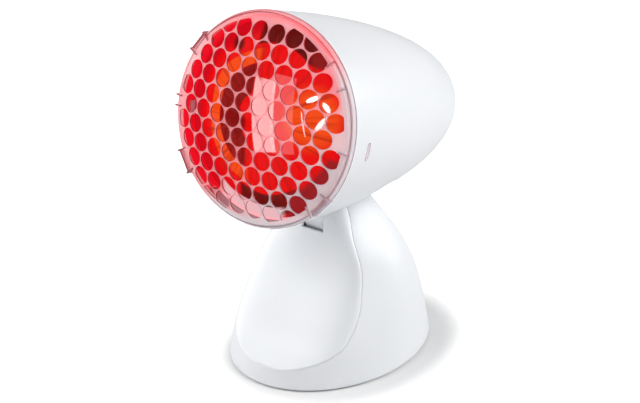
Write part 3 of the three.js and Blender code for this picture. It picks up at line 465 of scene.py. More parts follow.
def lit_wall(name, colour):
    """The shell's plastic with the bulb's red light painted in where it falls: a painted red glow and red
    tint near the mouth, paler low down.
    """
    finish = Finish(name, Emission_Strength=LENS_GLOW, Specular_IOR_Level=0.2)
    spot = head_place(finish)
    x, along, z = (finish.part(spot, axis) for axis in "XYZ")
    deep = finish.ramp(along + finish.noise(60.0) * 0.006, 0.050, 0.016)
    low = finish.ramp(z, -0.042, -0.050) * finish.ramp(x, -0.036, -0.030)
    finish.feed("Emission Color", finish.blend(deep, BLACK, finish.blend(low, CRIMSON_WALL, PALE_WALL)))
    finish.feed("Base Color", finish.blend(deep, colour, (0.45, 0.004, 0.010, 1)))
    return finish.skin(60.0, 0.4, 0.08, 900.0, 0.000002, 0.5)


def stained_cup(name, colour):
    """The bulb's cup: dark red with a painted red glow at its mouth, silvered further back."""
    finish = Finish(name, Emission_Strength=LENS_GLOW)
    back = finish.ramp(finish.part(head_place(finish), "Y") + finish.noise(90.0) * 0.002, 0.020, 0.028)
    finish.feed("Emission Color", finish.blend(back, (0.50, 0.003, 0.010, 1), BLACK))
    finish.feed("Base Color", finish.blend(back, shade_of(colour, 0.4), (0.85, 0.84, 0.83, 1)))
    finish.feed("Metallic", back)
    return finish.skin(140.0, 0.08, 0.06, 160.0, 0.00001, 0.3)


def head_place(finish):
    """Places on the head: X across, Y to the tail and Z up, from the middle of the ring."""
    middle = head_frame().to_translation()
    sockets = {"Vector": finish.place(), "Location": middle, "Rotation": (-TILT, 0, 0)}
    return finish.node("ShaderNodeMapping", {"vector_type": "TEXTURE"}, sockets)


def across_head(finish):
    """How far across and how far up a place on the head lies, and both as one flat place."""
    spot = head_place(finish)
    x, z = finish.part(spot, "X"), finish.part(spot, "Z")
    return x, z, finish.node("ShaderNodeCombineXYZ", None, {"X": x, "Z": z})


# Sizes and colours that can be changed

def length(name, about, value):
    return bpy.props.FloatProperty(name=name, description=about, default=value, unit="LENGTH", precision=4)


def tint(name, about, value):
    return bpy.props.FloatVectorProperty(
        name=name, description=about, default=value, size=4, subtype="COLOR", min=0.0, max=1.0)


class HeatLampHeadSizes(bpy.types.PropertyGroup):
    ring_radius: length("Ring radius", "Outer radius of the head at its front", 0.0657)
    head_length: length("Head length", "From the ring to the tail", 0.193)
    wall: length("Wall", "Thickness of the head's shell", 0.0022)
    hole_pitch: length("Hole pitch", "Distance between the guard's holes", 0.0124)
    hole_diameter: length("Hole diameter", "Diameter of one hole in the guard", 0.0117)
    guard_rise: length("Guard rise", "How far the guard's dome stands ahead of the ring", 0.018)
    guard_thickness: length("Guard thickness", "Thickness of the guard's plastic", 0.0011)


class HeatLampBaseSizes(bpy.types.PropertyGroup):
    width: length("Width", "Width of the base at the table", 0.124)
    depth: length("Depth", "Depth of the base at the table", 0.1564)
    shoulder: length("Shoulder height", "Height where the pear turns into the neck", 0.104)
    wall: length("Wall", "Thickness of the base's shells", 0.0024)
    seam: length("Seam", "Gap between the face and the rear shell", 0.0003)
    slot_width: length("Slot width", "Width of the slot in the neck", 0.0168)


class HeatLampColours(bpy.types.PropertyGroup):
    shell: tint("Shells", "White gloss plastic", (0.822, 0.84, 0.868, 1.0))
    # The rosy tint is the bulb's red light painted into the clear plastic
    guard: tint("Guard", "Clear plastic, rosy where the bulb tints it", (1.0, 0.50, 0.53, 1.0))
    guard_grey: tint("Guard low down", "Clear plastic away from the glow", (0.96, 0.92, 0.95, 1.0))
    lens: tint("Bulb", "Red stained glass", (0.75, 0.003, 0.004, 1.0))
    inner: tint("Hidden plastic", "Grey bottom plate and cord clamp", (0.60, 0.61, 0.64, 1.0))
    dark: tint("Switch and feet", "Black plastic and rubber", (0.03, 0.03, 0.032, 1.0))


LENS_IOR, LENS_GLOSS, LENS_GLOW = 1.3, 0.15, 1.0
TILT = math.radians(13.4)
HINGE_ALONG_SHARE = 0.476
HEAD_RISE, HEAD_EASE = 1.526, 2.571
SADDLE_RADIUS, SADDLE_WALL, SADDLE_REACH = 0.028, 0.0024, 0.08
# The tongue's round end, its cheeks' gap to the slot's walls, its own sides, and the room round the disc
KNUCKLE_RADIUS, TONGUE_GAP, TONGUE_SIDES, DISC_ROOM = 0.0246, 0.0003, (-0.0070, 0.0060), 0.0094
# How far the bulb's painted red light reaches up the shell, and how far inside the outline the inner wall
# starts
RED_REACH, INNER_WALL_DEPTH = 0.09, 0.0019
SLIT_DEPTH, SLIT_LENGTH, SLIT_WIDTH, SLIT_TURN = 0.0164, 0.0116, 0.0034, math.radians(5.7)
VENTS, VENT_PITCH, VENT_WIDTH, VENT_LENGTH, VENT_END = 5, 0.007, 0.0024, 0.022, 0.158


def head_frame():
    """From a form turned about Z to its place: Z runs to the tail, and -Y is up."""
    sizes = bpy.context.scene.heat_lamp_head
    turn = Matrix.Rotation(-TILT, 4, "X")
    hinge = turn @ Vector((0, sizes.head_length * HINGE_ALONG_SHARE, -sizes.ring_radius))
    return Matrix.Translation(HINGE - hinge) @ turn @ Matrix.Rotation(-math.pi / 2, 4, "X")


def head_radius(sizes, along, inset=0.0):
    share = min(along / (sizes.head_length - inset), 1)
    return (sizes.ring_radius - inset) * (1 - share ** HEAD_RISE) ** (1 / HEAD_EASE)


def head_profile(sizes, inset, reach, steps):
    """The shell's outline from the ring to the tail, as pairs of radius and height."""
    heights = [reach * math.sin(math.pi / 2 * k / steps) for k in range(steps)]
    return [(head_radius(sizes, along, inset), along) for along in heights] + [(0, reach)]


def dome_height(sizes, radius):
    share = (radius / sizes.ring_radius) ** 2
    return sizes.guard_rise * (1 - DOME_FALL * share - DOME_EDGE_FALL * share * share)


def on_side(piece, side):
    """Turns a piece made on the right to the slit on its own side of the head."""
    turn = SLIT_TURN if side > 0 else math.pi - SLIT_TURN
    return put(piece, Matrix.Rotation(turn, 4, "Z"))


def side_slit(name, length_along, width, x0, x1, side):
    """A round-ended bar through the head's side, where the guard's latch shows."""
    straight = (length_along - width) / 2
    outline = []
    for end, start in ((1, 0), (-1, -math.pi)):
        for k in range(9):
            angle = start + math.pi * k / 8
            across, along = width / 2 * math.sin(angle), width / 2 * math.cos(angle)
            outline.append((end * straight + across, SLIT_DEPTH + along))
    return on_side(slab(name, outline, x0, x1), side)


def saddle_wall(sizes):
    """The wall that closes the head over the neck, kept inside the head's outline."""
    wall = barrel("saddle_wall", SADDLE_RADIUS + SADDLE_WALL, -SADDLE_REACH, SADDLE_REACH)
    carve(wall, barrel("saddle", SADDLE_RADIUS))
    outline = head_profile(sizes, 0.001, sizes.head_length, 30)
    limit = put(turned("limit", outline + [(0, 0), outline[0]], 96), head_frame())
    return carve(wall, limit, "INTERSECT")


def head_openings():
    """The slit on each side and the vents in the back."""
    openings = [side_slit("slit", SLIT_LENGTH, SLIT_WIDTH, 0.058, 0.08, side) for side in (-1, 1)]
    for k in range(VENTS):
        x = (k - (VENTS - 1) / 2) * VENT_PITCH
        low, high = (x - VENT_WIDTH / 2, -0.08, VENT_END - VENT_LENGTH), (x + VENT_WIDTH / 2, 0, VENT_END)
        openings.append(rounded(boxed("vent", low, high), VENT_WIDTH * 0.45, 3))
    return joined("openings", openings)


class BuildHead(bpy.types.Operator):
    """Build the white head shell, red inside where the bulb lights it"""
    bl_idname = "heat_lamp.head"
    bl_label = "Head shell"

    def execute(self, context):
        sizes = context.scene.heat_lamp_head
        outer = head_profile(sizes, 0, sizes.head_length, 46)
        inner = head_profile(sizes, sizes.wall, sizes.head_length - sizes.wall, 46)
        shell = turned("head_shell", outer + inner[::-1] + outer[:1], 128)
        put(shell, head_frame())
        carve(shell, barrel("saddle", SADDLE_RADIUS))
        carve(shell, saddle_wall(sizes), "UNION")
        carve(shell, put(head_openings(), head_frame()))
        finished(eased(shell, 0.0005), "head", "white_plastic", "head_housing")
        shell.data.materials.append(FINISHES["lit_wall"])
        # Inner wall faces near the mouth take the finish with the bulb's red light painted in
        back = head_frame().inverted()
        for face in shell.data.polygons:
            spot = back @ face.center
            wall = head_radius(sizes, spot.z) - INNER_WALL_DEPTH
            face.material_index = int(0 < spot.z < RED_REACH and math.hypot(spot.x, spot.y) < wall)
        return {"FINISHED"}


class BuildTongue(bpy.types.Operator):
    """Build the cheeks that widen the tongue's round end to the slot's walls"""
    bl_idname = "heat_lamp.tongue"
    bl_label = "Tongue's cheeks"

    def execute(self, context):
        half = context.scene.heat_lamp_base.slot_width / 2 - TONGUE_GAP
        cheeks = barrel("tongue_cheeks", KNUCKLE_RADIUS, -half, half, 72)
        carve(cheeks, barrel("core", KNUCKLE_RADIUS + 0.001, *TONGUE_SIDES, 72))
        carve(cheeks, barrel("disc_room", DISC_ROOM, sides=48))
        finished(eased(cheeks, 0.0003), "head", "white_plastic")
        return {"FINISHED"}


# The guard is made with its dome looking down, and is put on the head last
HOLE_ROWS, HOLE_COLUMNS = range(-5, 6), range(-10, 11)
RIB_ANGLES, RIB_THICKNESS = (44, 29, -5.5, 178, -176), 0.0011
TAB_ANGLES, TAB_THICKNESS = ((-46, -33), (139, 151), (-151, -138)), 0.0012
RIM_WIDTH, LATCH_ROOM = 0.0043, 0.0014
DOME_FALL, DOME_EDGE_FALL = 0.577, 0.157
GUARD_FINISHES = ("clear_plastic", "guard_edge", "lit_wall", "guard_latch")


def guard_radii(sizes):
    """The radii of the holes' field, the dome, the rim and the collar, and the height of the dome's edge."""
    ring, dome = sizes.ring_radius, sizes.ring_radius - RIM_WIDTH + 0.0009
    return ring - RIM_WIDTH, dome, ring + 0.0006, ring - 0.0026, dome_height(sizes, dome)


def guard_outline(sizes):
    """The dome, the rim with its lip and its groove, and the collar inside the head."""
    _field, dome, outer, collar, edge = guard_radii(sizes)
    steps = 30
    front = [(dome * k / steps, -dome_height(sizes, dome * k / steps)) for k in range(steps + 1)]
    back = [(radius, height + sizes.guard_thickness) for radius, height in reversed(front)]
    # How far inside the rim, and how far back from the dome's edge
    lip = (
        (0.0021, 0.0019), (0.0018, 0.0027), (0.0015, 0.0027), (0.0013, 0.0021), (0.0005, 0.0023), (0, 0.0032))
    # How far inside the rim, and the height at the ring
    groove = ((0, -0.0015), (0.0007, -0.0013), (0.0007, -0.0009), (0, -0.0007), (0, -0.0003))
    rim = [(dome + 0.0012, -edge + 0.0003)]
    rim += [(outer - inside, -edge + behind) for inside, behind in lip]
    rim += [(outer - inside, height) for inside, height in groove]
    rim += [(collar, -0.0003), (collar - 0.0002, 0.005)]
    rim += [(collar - 0.0014, 0.005), (collar - 0.0014, -edge / 2)]
    return front + rim + back


def guard_holes(sizes):
    """A round cutter for each hole, cut off where the field ends."""
    field, pitch, radius = guard_radii(sizes)[0], sizes.hole_pitch, sizes.hole_diameter / 2
    cutters = []
    for row in HOLE_ROWS:
        for column in HOLE_COLUMNS:
            x, y = pitch * (column + (row % 2) / 2), pitch * math.sqrt(3) / 2 * row
            if math.hypot(x, y) <= field + (radius / 4 if row else 0):
                cutter = rod("hole_cutter", radius, -0.03, 0.01, 28)
                cutters.append(put(cutter, Matrix.Translation((x, y, 0))))
    return carve(joined("hole_cutters", cutters), rod("field", field, -0.04, 0.02, 128), "INTERSECT")


def ring_bar(name, angle, inner, outer, front, back, thickness):
    """A bar that points outwards at an angle round the ring, seen from the front."""
    bar = boxed(name, (inner, -thickness / 2, front), (outer, thickness / 2, back))
    return put(bar, Matrix.Rotation(-math.radians(angle), 4, "Z"))


def guard_ribs(sizes):
    """The ribs and clips round the rim, and the latch with its arm on each side."""
    field, _dome, outer, _collar, edge = guard_radii(sizes)
    ribs = []
    for angle in RIB_ANGLES:
        ribs.append(ring_bar("rib", angle, field - 0.003, outer - 0.0012,
                             -edge - 0.0011, -edge + 0.003, RIB_THICKNESS))
    for ends in TAB_ANGLES:
        for angle in ends:
            ribs.append(ring_bar("tab_end", angle, field - 0.0015, outer + 0.0009,
                                 -edge - 0.0008, -0.0012, TAB_THICKNESS))
        ribs.append(ring_bar("tab", sum(ends) / 2, outer - 0.0012, outer + 0.0004,
                             -edge + 0.0005, -0.0014, math.radians(ends[1] - ends[0]) * outer))
    length_along, width = SLIT_LENGTH - LATCH_ROOM, SLIT_WIDTH - LATCH_ROOM
    for side in (-1, 1):
        ribs.append(side_slit("latch", length_along, width, 0.0605, 0.0650, side))
        ribs.append(on_side(boxed("latch_arm", (0.0600, -0.0045, 0.0022), (0.0613, 0.0045, 0.0170)), side))
    return ribs


def guard_finish_at(sizes, spot, normal):
    """The finish of one face of the guard, by its place."""
    field, _dome, outer, collar, edge = guard_radii(sizes)
    away = math.hypot(spot.x, spot.y)
    upright = abs(normal.z) < 0.55
    rosy = spot.x * LEAN_ACROSS + spot.y * LEAN_DOWN < 0.004
    # The collar's inner faces on the rosy side take the bulb's red light, painted in
    if upright and rosy and field < away < collar - 0.0010 and spot.z > -edge / 2 - 0.001:
        return "lit_wall"
    if spot.z > 0.008:
        return "guard_latch"
    # Painted shade: hole edges, ribs, clips and the rim's grooves take a darker finish
    hole_edge = upright and away < field + 0.0004
    raised = spot.z < -dome_height(sizes, away) - 0.0002
    grooved = -0.0016 < spot.z < -0.0006 or abs(spot.z + edge - 0.0026) < 0.0003
    on_clips = away > outer + 0.0001
    if hole_edge or raised or on_clips or grooved and outer - 0.002 < away < outer - 0.0003:
        return "guard_edge"
    return "clear_plastic"


class BuildGuard(bpy.types.Operator):
    """Build the domed guard with its round holes"""
    bl_idname = "heat_lamp.guard"
    bl_label = "Guard"

    def execute(self, context):
        sizes = context.scene.heat_lamp_head
        guard = turned("guard", guard_outline(sizes), 128)
        carve(guard, guard_holes(sizes))
        for rib in guard_ribs(sizes):
            carve(guard, rib, "UNION")
        eased(guard, 0.0002, 45)
        for name in GUARD_FINISHES:
            guard.data.materials.append(FINISHES[name])
        for face in guard.data.polygons:
            face.material_index = GUARD_FINISHES.index(guard_finish_at(sizes, face.center, face.normal))
        put(guard, head_frame())
        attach(guard, "head")
        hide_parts("front_grille")
        return {"FINISHED"}


LENS_FRONT, LENS_RISE, LENS_RADIUS, LENS_WALL = -0.004, 0.0104, 0.0608, 0.0016


class BuildBulb(bpy.types.Operator):
    """Build the bulb's domed red lens"""
    bl_idname = "heat_lamp.bulb"
    bl_label = "Bulb's lens"

    def execute(self, context):
        curve = (LENS_RADIUS ** 2 + LENS_RISE ** 2) / (2 * LENS_RISE)
        steps = 22

        def dome(radius, inset):
            """One side of the glass, from its middle outwards."""
            places = [radius * k / steps for k in range(steps + 1)]
            sag = [curve - math.sqrt((curve - inset) ** 2 - away ** 2) for away in places]
            return [(away, LENS_FRONT + behind) for away, behind in zip(places, sag)]

        outer, inner = dome(LENS_RADIUS, 0), dome(LENS_RADIUS - LENS_WALL, LENS_WALL)
        lens = eased(turned("lens", outer + inner[::-1], 96), 0.0004, 50, 40)
        put(lens, head_frame())
        finished(lens, "head", "red_glass", "bulb_lens")
        return {"FINISHED"}


# The pear's curves and the face's edge and nose, as shares of the base's height, width and depth
HEIGHT_SHARES = (0, 0.24, 0.48, 0.72, 1, 1.07, 1.22)
WIDE_SHARES = (1, 0.948, 0.866, 0.715, 0.324, 0.226, 0.212)
DEEP_SHARES = (1, 0.898, 0.743, 0.542, 0.276, 0.236, 0.236)
MIDDLE_SHARES = (-0.0083, -0.0026, 0.016, 0.0237, 0.0339, 0.0256, 0.0256)
FACE_SHARES = (0, 0.12, 0.3, 0.55, 0.8, 1, 1.25)
EDGE_SHARES = (-0.485, -0.335, -0.233, -0.16, -0.106, -0.045, -0.038)
NOSE_SHARES = (-0.485, -0.394, -0.315, -0.219, -0.153, -0.127, -0.122)
FACE_START = 0.0118
BaseCurves = namedtuple("BaseCurves", "wide deep middle edge nose top")


def base_curves(sizes):
    heights = [share * sizes.shoulder for share in HEIGHT_SHARES]
    face = [FACE_START + share * (sizes.shoulder - FACE_START) for share in FACE_SHARES]

    def curve(stations, shares, size):
        return curve_through(stations, [share * size for share in shares])

    return BaseCurves(
        wide=curve(heights, WIDE_SHARES, sizes.width / 2), deep=curve(heights, DEEP_SHARES, sizes.depth / 2),
        middle=curve(heights, MIDDLE_SHARES, sizes.depth), edge=curve(face, EDGE_SHARES, sizes.depth),
        nose=curve(face, NOSE_SHARES, sizes.depth), top=heights[-1])


SWITCH_SLOPE = math.radians(20)
ROCKER_PIVOT = 0.002
BUSH_FACE, BUSH_HEIGHT, SEAT_GAP = 0.06054, 0.016, 0.0003
# Half widths and half heights
SWITCH_PAD, SWITCH_HOLE, SWITCH_RIM = (0.0101, 0.0131), (0.0066, 0.0096), (0.0075, 0.0105)
SWITCH_BODY, SWITCH_WELL = (0.0063, 0.0093), (0.0052, 0.0081)
NECK_RADIUS, CUTTER_STEPS = 0.0272, 48
BASE_BACK = HINGE.y - 0.005
SLOT_SINK = 0.0154
BODY_SIDES, BODY_STEPS, FACE_STEPS = 112, 44, 60


def switch_frame():
    """The switch's own frame: Y looks out of the back, and Z runs up the slope."""
    turn = Matrix.Rotation(SWITCH_SLOPE, 4, "X")
    return Matrix.Translation(SWITCH_JOINT + turn @ Vector((0, ROCKER_PIVOT, 0))) @ turn


def inlet_frame(gap=0):
    """The cord inlet's own frame: Z looks out of the back."""
    return Matrix.Translation((0, BUSH_FACE + gap, BUSH_HEIGHT)) @ Matrix.Rotation(-math.pi / 2, 4, "X")


def neck_limit(inset):
    """Everything above the hinge keeps inside a barrel about its axis."""
    radius = NECK_RADIUS - inset
    angles = [math.pi * k / CUTTER_STEPS for k in range(CUTTER_STEPS + 1)]
    outline = [(HINGE.y + radius * math.cos(angle), HINGE.z + radius * math.sin(angle)) for angle in angles]
    outline += [(-FAR, HINGE.z), (-FAR, -0.02), (FAR, -0.02), (FAR, HINGE.z)]
    return slab("neck_limit", outline, -FAR / 2, FAR / 2)


def neck_slot(sizes):
    """The cutter for the slot that the tongue hangs in."""
    half = sizes.slot_width / 2
    floor, step = sizes.shoulder - SLOT_SINK, HINGE.z + KNUCKLE_RADIUS * 0.6
    outline = [(-FAR, floor), (HINGE.y, floor), (HINGE.y + KNUCKLE_RADIUS * 0.55, HINGE.z),
               (HINGE.y + KNUCKLE_RADIUS * 0.62, step), (FAR, step), (FAR, 0.15), (-FAR, 0.15)]
    room = barrel("knuckle_room", KNUCKLE_RADIUS + 0.0008, -half, half, 72)
    return carve(slab("neck_slot", outline, -half, half), room, "UNION")


def body_form(name, sizes, inset, bottom):
    """The pear from its bottom to the neck, drawn in by the inset."""
    curves = base_curves(sizes)
    rings = []
    for k in range(BODY_STEPS + 1):
        height = bottom + (curves.top - bottom) * k / BODY_STEPS
        rings.append((curves.wide(height) - inset, curves.deep(height) - inset,
                      curves.middle(height) + BASE_BACK, height))
    return carve(ovals(name, rings, BODY_SIDES), neck_limit(inset), "INTERSECT")


def face_curtain(sizes, gap):
    """The cutter that stands for everything ahead of the face's edge."""
    curves = base_curves(sizes)
    top = curves.top
    heights = [FACE_START + (top - FACE_START) * (k / CUTTER_STEPS) ** 1.5 for k in range(CUTTER_STEPS + 1)]
    outline = [(curves.edge(height) + gap + BASE_BACK, height) for height in heights]
    outline += [(outline[-1][0], top + 0.02), (-0.3, top + 0.02), (-0.3, FACE_START)]
    return slab("face_curtain", outline, -FAR / 2, FAR / 2)


def face_form(name, sizes, inset, lift):
    """The teardrop's body: half ovals that swell forwards from the face's edge."""
    curves = base_curves(sizes)
    bottom = FACE_START + lift
    rings = []
    for k in range(FACE_STEPS + 1):
        height = bottom + (curves.top - bottom) * (k / FACE_STEPS) ** 1.6
        edge = curves.edge(height)
        off = (edge - curves.middle(height)) / curves.deep(height)
        half = curves.wide(height) * math.sqrt(max(1 - off ** 2, 0)) - inset
        rise = edge - curves.nose(height) - inset
        rings.append((max(half, 0.0005), max(rise, 0.0005), edge + BASE_BACK, height))
    return carve(ovals(name, rings, BODY_SIDES), neck_limit(inset), "INTERSECT")


class BuildRearShell(bpy.types.Operator):
    """Build the base's pear-shaped rear shell, with room for the switch and the inlet"""
    bl_idname = "heat_lamp.rear"
    bl_label = "Rear shell"

    def execute(self, context):
        sizes = context.scene.heat_lamp_base
        rear = body_form("rear_shell", sizes, 0, 0.0014)
        pad = rounded(block("switch_pad", SWITCH_PAD, -0.005, 0), 0.0008)
        carve(rear, put(pad, switch_frame()), "UNION")
        profile = [(0, -0.008), (0.008, -0.008), (0.008, -0.0006), (0.0074, 0), (0, 0)]
        carve(rear, put(turned("inlet_pad", profile, 48), inlet_frame()), "UNION")
        carve(rear, body_form("inside", sizes, sizes.wall, -0.01))
        carve(rear, face_curtain(sizes, sizes.seam))
        carve(rear, neck_slot(sizes))
        carve(rear, put(block("switch_hole", SWITCH_HOLE, -0.01, 0.01), switch_frame()))
        carve(rear, put(rod("inlet_hole", 0.0049, -0.02, 0.01, 40), inlet_frame()))
        finished(eased(rear, 0.0005), "base", "white_plastic", "base_rear_shell")
        return {"FINISHED"}


class BuildFace(bpy.types.Operator):
    """Build the base's teardrop face"""
    bl_idname = "heat_lamp.face"
    bl_label = "Front cover"

    def execute(self, context):
        sizes = context.scene.heat_lamp_base
        face = face_form("front_cover", sizes, 0, 0.0008)
        carve(face, face_curtain(sizes, 0), "INTERSECT")
        carve(face, face_form("inside", sizes, sizes.wall, 0.0065))
        carve(face, neck_slot(sizes))
        finished(eased(face, 0.0005), "base", "white_plastic", "base_front_cover")
        return {"FINISHED"}


def switch_surround():
    """The switch's rim and body with its well, its three blades and the rocker's pivot."""
    housing = rounded(block("switch_surround", SWITCH_RIM, SEAT_GAP, 0.0018), 0.0006, 3)
    carve(housing, block("switch_body", SWITCH_BODY, -0.013, SEAT_GAP * 2), "UNION")
    carve(housing, block("well", SWITCH_WELL, -0.012, 0.02))
    for k in (-1, 0, 1):
        low, high = (-0.0024, -0.020, k * 0.006 - 0.0004), (0.0024, -0.0127, k * 0.006 + 0.0004)
        carve(housing, boxed("blade", low, high), "UNION")
    carve(housing, barrel("pivot", 0.0013, -0.01, 0.01, 24, (-ROCKER_PIVOT, 0)))
    return eased(housing, 0.0002, 45)


def switch_paddle():
    """The rocker with a hollowed face, three grooves and its pin, tipped to off."""
    top, half = 0.0044, 0.0072
    outline = [(-0.001, -half), (-0.006, -half / 3), (-0.006, half / 3), (-0.001, half), (top, half)]
    outline += [(0.0031 + 0.0013 * abs(k / 6) ** 1.8, half * k / 6) for k in range(5, -6, -1)]
    outline.append((top, -half))
    rocker = slab("switch_paddle", outline, -0.0048, 0.0048)
    grooves = []
    for k in range(3):
        low, high = k * 0.0011 + 0.0035, k * 0.0011 + 0.0040
        grooves.append(boxed("groove", (-0.0034, top - 0.0007, low), (0.0034, 0.02, high)))
    carve(rocker, joined("grooves", grooves))
    carve(rocker, barrel("pin", 0.001, -0.0062, 0.0062, 24, (-ROCKER_PIVOT, 0)), "UNION")
    eased(rocker, 0.0003, 45)
    back = Matrix.Translation((0, -ROCKER_PIVOT, 0))
    return put(rocker, back @ Matrix.Rotation(math.radians(8), 4, "X") @ back.inverted())


class BuildSwitch(bpy.types.Operator):
    """Build the switch's housing and rocker"""
    bl_idname = "heat_lamp.switch"
    bl_label = "Switch"

    def execute(self, context):
        housing = put(switch_surround(), switch_frame())
        finished(housing, "base", "black_plastic", "switch_housing")
        rocker = put(switch_paddle(), switch_frame())
        finished(rocker, "rocker", "black_plastic", "switch_rocker")
        return {"FINISHED"}


class BuildRubber(bpy.types.Operator):
    """Build the bush that the cord comes in through and the four feet"""
    bl_idname = "heat_lamp.rubber"
    bl_label = "Cord inlet and feet"

    def execute(self, context):
        profile = [(0.0033, -0.0115), (0.0046, -0.0115), (0.0046, 0), (0.0070, 0), (0.0070, 0.0008),
                   (0.0064, 0.0016), (0.0050, 0.0019), (0.0041, 0.0017), (0.0033, 0.0004), (0.0033, -0.0115)]
        bush = eased(turned("inlet_bush", profile, 48), 0.0002, 30, 40)
        finished(put(bush, inlet_frame(SEAT_GAP)), "base", "rubber", "cable_bush")

        profile = [(0, 0), (0.0052, 0), (0.0056, 0.0004), (0.0062, 0.0004), (0.0066, 0), (0.0070, 0.0006),
                   (0.0070, 0.0016), (0.0026, 0.0016), (0.0026, 0.0047), (0.0036, 0.0047), (0.0030, 0.0062),
                   (0.0022, 0.0070), (0, 0.0070)]
        for name in ("front_left", "front_right", "back_left", "back_right"):
            low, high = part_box("foot_" + name)
            foot = eased(turned("rubber_foot_" + name, profile, 48), 0.00015, 30, 40)
            put(foot, Matrix.Translation(((low[0] + high[0]) / 2, (low[1] + high[1]) / 2, low[2])))
            finished(foot, "base", "rubber", "foot_" + name)
        return {"FINISHED"}


class DressNodes(bpy.types.Operator):
    """Give the carried-over solids their finishes"""
    bl_idname = "heat_lamp.dress"
    bl_label = "Inner pieces"

    def execute(self, context):
        finishes = {part["node"]: part["material_slot"] for part in frame["record"]["subparts"]}
        finishes.update(bulb_reflector="stained_cup", head_tongue="white_plastic")
        for name, node in frame["nodes"].items():
            dressed(node, finishes[name])
        return {"FINISHED"}


WORLD_STRENGTH = 0.02
WHITE, COOL = (1.0, 1.0, 1.0), (0.9, 0.95, 1.0)
MIDDLE, LENS_MIDDLE = (0, 0, 0.12), (0, -0.085, 0.182)
CAMERA_PLACE = (0.55146, -0.78866, 0.54383)
CAMERA_PITCH, CAMERA_TURN = math.radians(65.01), math.radians(35.93)
# Each soft light's name, place, side and power
LIGHTS = (
    ("high_left", (-1.0, -0.9, 1.4), 1.0, 5.9),
    ("left", (-1.6, -0.1, 0.6), 1.0, 10.2),
    ("left_level", (-1.3, -0.7, 0.5), 0.8, 4.5),
    ("front_left", (-0.5, -1.3, 1.1), 0.8, 6.9),
    ("low_front", (-0.3, -1.1, 0.34), 0.5, 1.0),
    ("right", (1.5, -0.25, 0.25), 0.8, 3.6),
    ("right_back", (1.1, 1.2, 0.7), 1.0, 10.4),
    ("right_high", (1.3, 0.4, 1.5), 1.0, 20.0),
)
# A light from the side for the guard alone, with both its sides
GUARD_LIGHT = ("rim_right", (1.6, -0.35, 0.35), (0.5, 0.8), 11.0)
# Strips that only the bulb's glass mirrors, each with its ends, width and power
MIRRORED = (
    ("window_pale", (-0.449, -0.656, 0.379), (-0.392, -0.711, 0.021), 0.150, 12.5),
    ("window_rosy", (-0.335, -0.702, 0.441), (-0.283, -0.765, 0.041), 0.150, 2.9),
    ("glint_high", (-0.306, -1.205, 0.449), (-0.184, -1.212, 0.525), 0.042, 3.4),
    ("glint_right", (-0.145, -1.229, 0.484), (-0.064, -1.252, 0.418), 0.048, 2.6),
    ("glint_low", (-0.084, -1.259, 0.370), (-0.181, -1.262, 0.235), 0.048, 3.8),
    ("glint_thin", (-0.339, -1.213, 0.365), (-0.269, -1.247, 0.162), 0.010, 1.0),
)
GLINT_WIDTH = 0.1


def add_light(name, place, size, power, colour=WHITE):
    lamp = bpy.data.lights.new(name, "AREA")
    lamp.shape, lamp.size, lamp.size_y = "RECTANGLE", size[0], size[1]
    lamp.energy, lamp.color = power, colour
    holder = bpy.data.objects.new(name, lamp)
    holder.matrix_world = place
    bpy.context.scene.collection.objects.link(holder)
    return holder


def facing(place, aim):
    turn = (Vector(aim) - Vector(place)).to_track_quat("-Z", "Y").to_matrix()
    return Matrix.Translation(place) @ turn.to_4x4()


def strip_between(start, end):
    """Lies along the line from start to end and looks at the bulb."""
    middle, along = (Vector(start) + Vector(end)) / 2, Vector(end) - Vector(start)
    outward = (middle - Vector(LENS_MIDDLE)).normalized()
    along = (along - outward * along.dot(outward)).normalized()
    turn = Matrix((along, outward.cross(along), outward)).transposed()
    return Matrix.Translation(middle) @ turn.to_4x4()


def light_stage():
    """Soft lights for everything but the bulb's glass, and strips for the glass alone."""
    mirror, matt, open_guard, rim = (bpy.data.collections.new(name) for name in (
        "mirrored_in_glass", "everything_but_glass", "strips_pass_guard", "guard_alone"))
    for group, name in ((mirror, "lens"), (matt, "lens"), (open_guard, "guard"), (rim, "guard")):
        group.objects.link(bpy.data.objects[name])
    for group in (matt, open_guard):
        group.collection_objects[0].light_linking.link_state = "EXCLUDE"
    name, place, size, power = GUARD_LIGHT
    holder = add_light(name, facing(place, LENS_MIDDLE), size, power, COOL)
    holder.light_linking.receiver_collection = rim
    for name, place, side, power in LIGHTS:
        soft = add_light(name, facing(place, MIDDLE), (side, side), power)
        soft.light_linking.receiver_collection = matt
    for name, start, end, width, power in MIRRORED:
        size = ((Vector(end) - Vector(start)).length, width)
        strip = add_light(name, strip_between(start, end), size, power)
        if width < GLINT_WIDTH:
            strip.data.shape = "ELLIPSE"
        strip.light_linking.receiver_collection = mirror
        strip.light_linking.blocker_collection = open_guard


def floor_paper():
    """White paper that keeps the shadow close to the base and is plain white further off."""
    paper = Finish("floor_paper", Roughness=0.9, Specular_IOR_Level=0.0, Base_Color=(0.83, 0.83, 0.83, 1.0))
    shape = bpy.context.scene.heat_lamp_base
    across = (paper.part(paper.place(), "X") - 0.01) * (2 / shape.width)
    back = (paper.part(paper.place(), "Y") - (BASE_BACK - 0.0013)) * (2 / shape.depth)
    away = paper.reach(paper.node("ShaderNodeCombineXYZ", None, {"X": across, "Y": back}))
    lift = paper.ramp(away, 0.97, 1.5) * 0.95 * paper.node("ShaderNodeLightPath", output="Is Camera Ray")
    white = paper.node("ShaderNodeEmission", None, {"Color": WHITE + (1,), "Strength": 1.0})
    glow = paper.node("ShaderNodeMixShader", None, {0: lift, 2: white})
    both = paper.node("ShaderNodeAddShader", None, {0: Wire(paper, paper.shader.outputs[0]), 1: glow})
    paper.join(both, paper.tree.nodes["Material Output"].inputs["Surface"])
    return paper.material


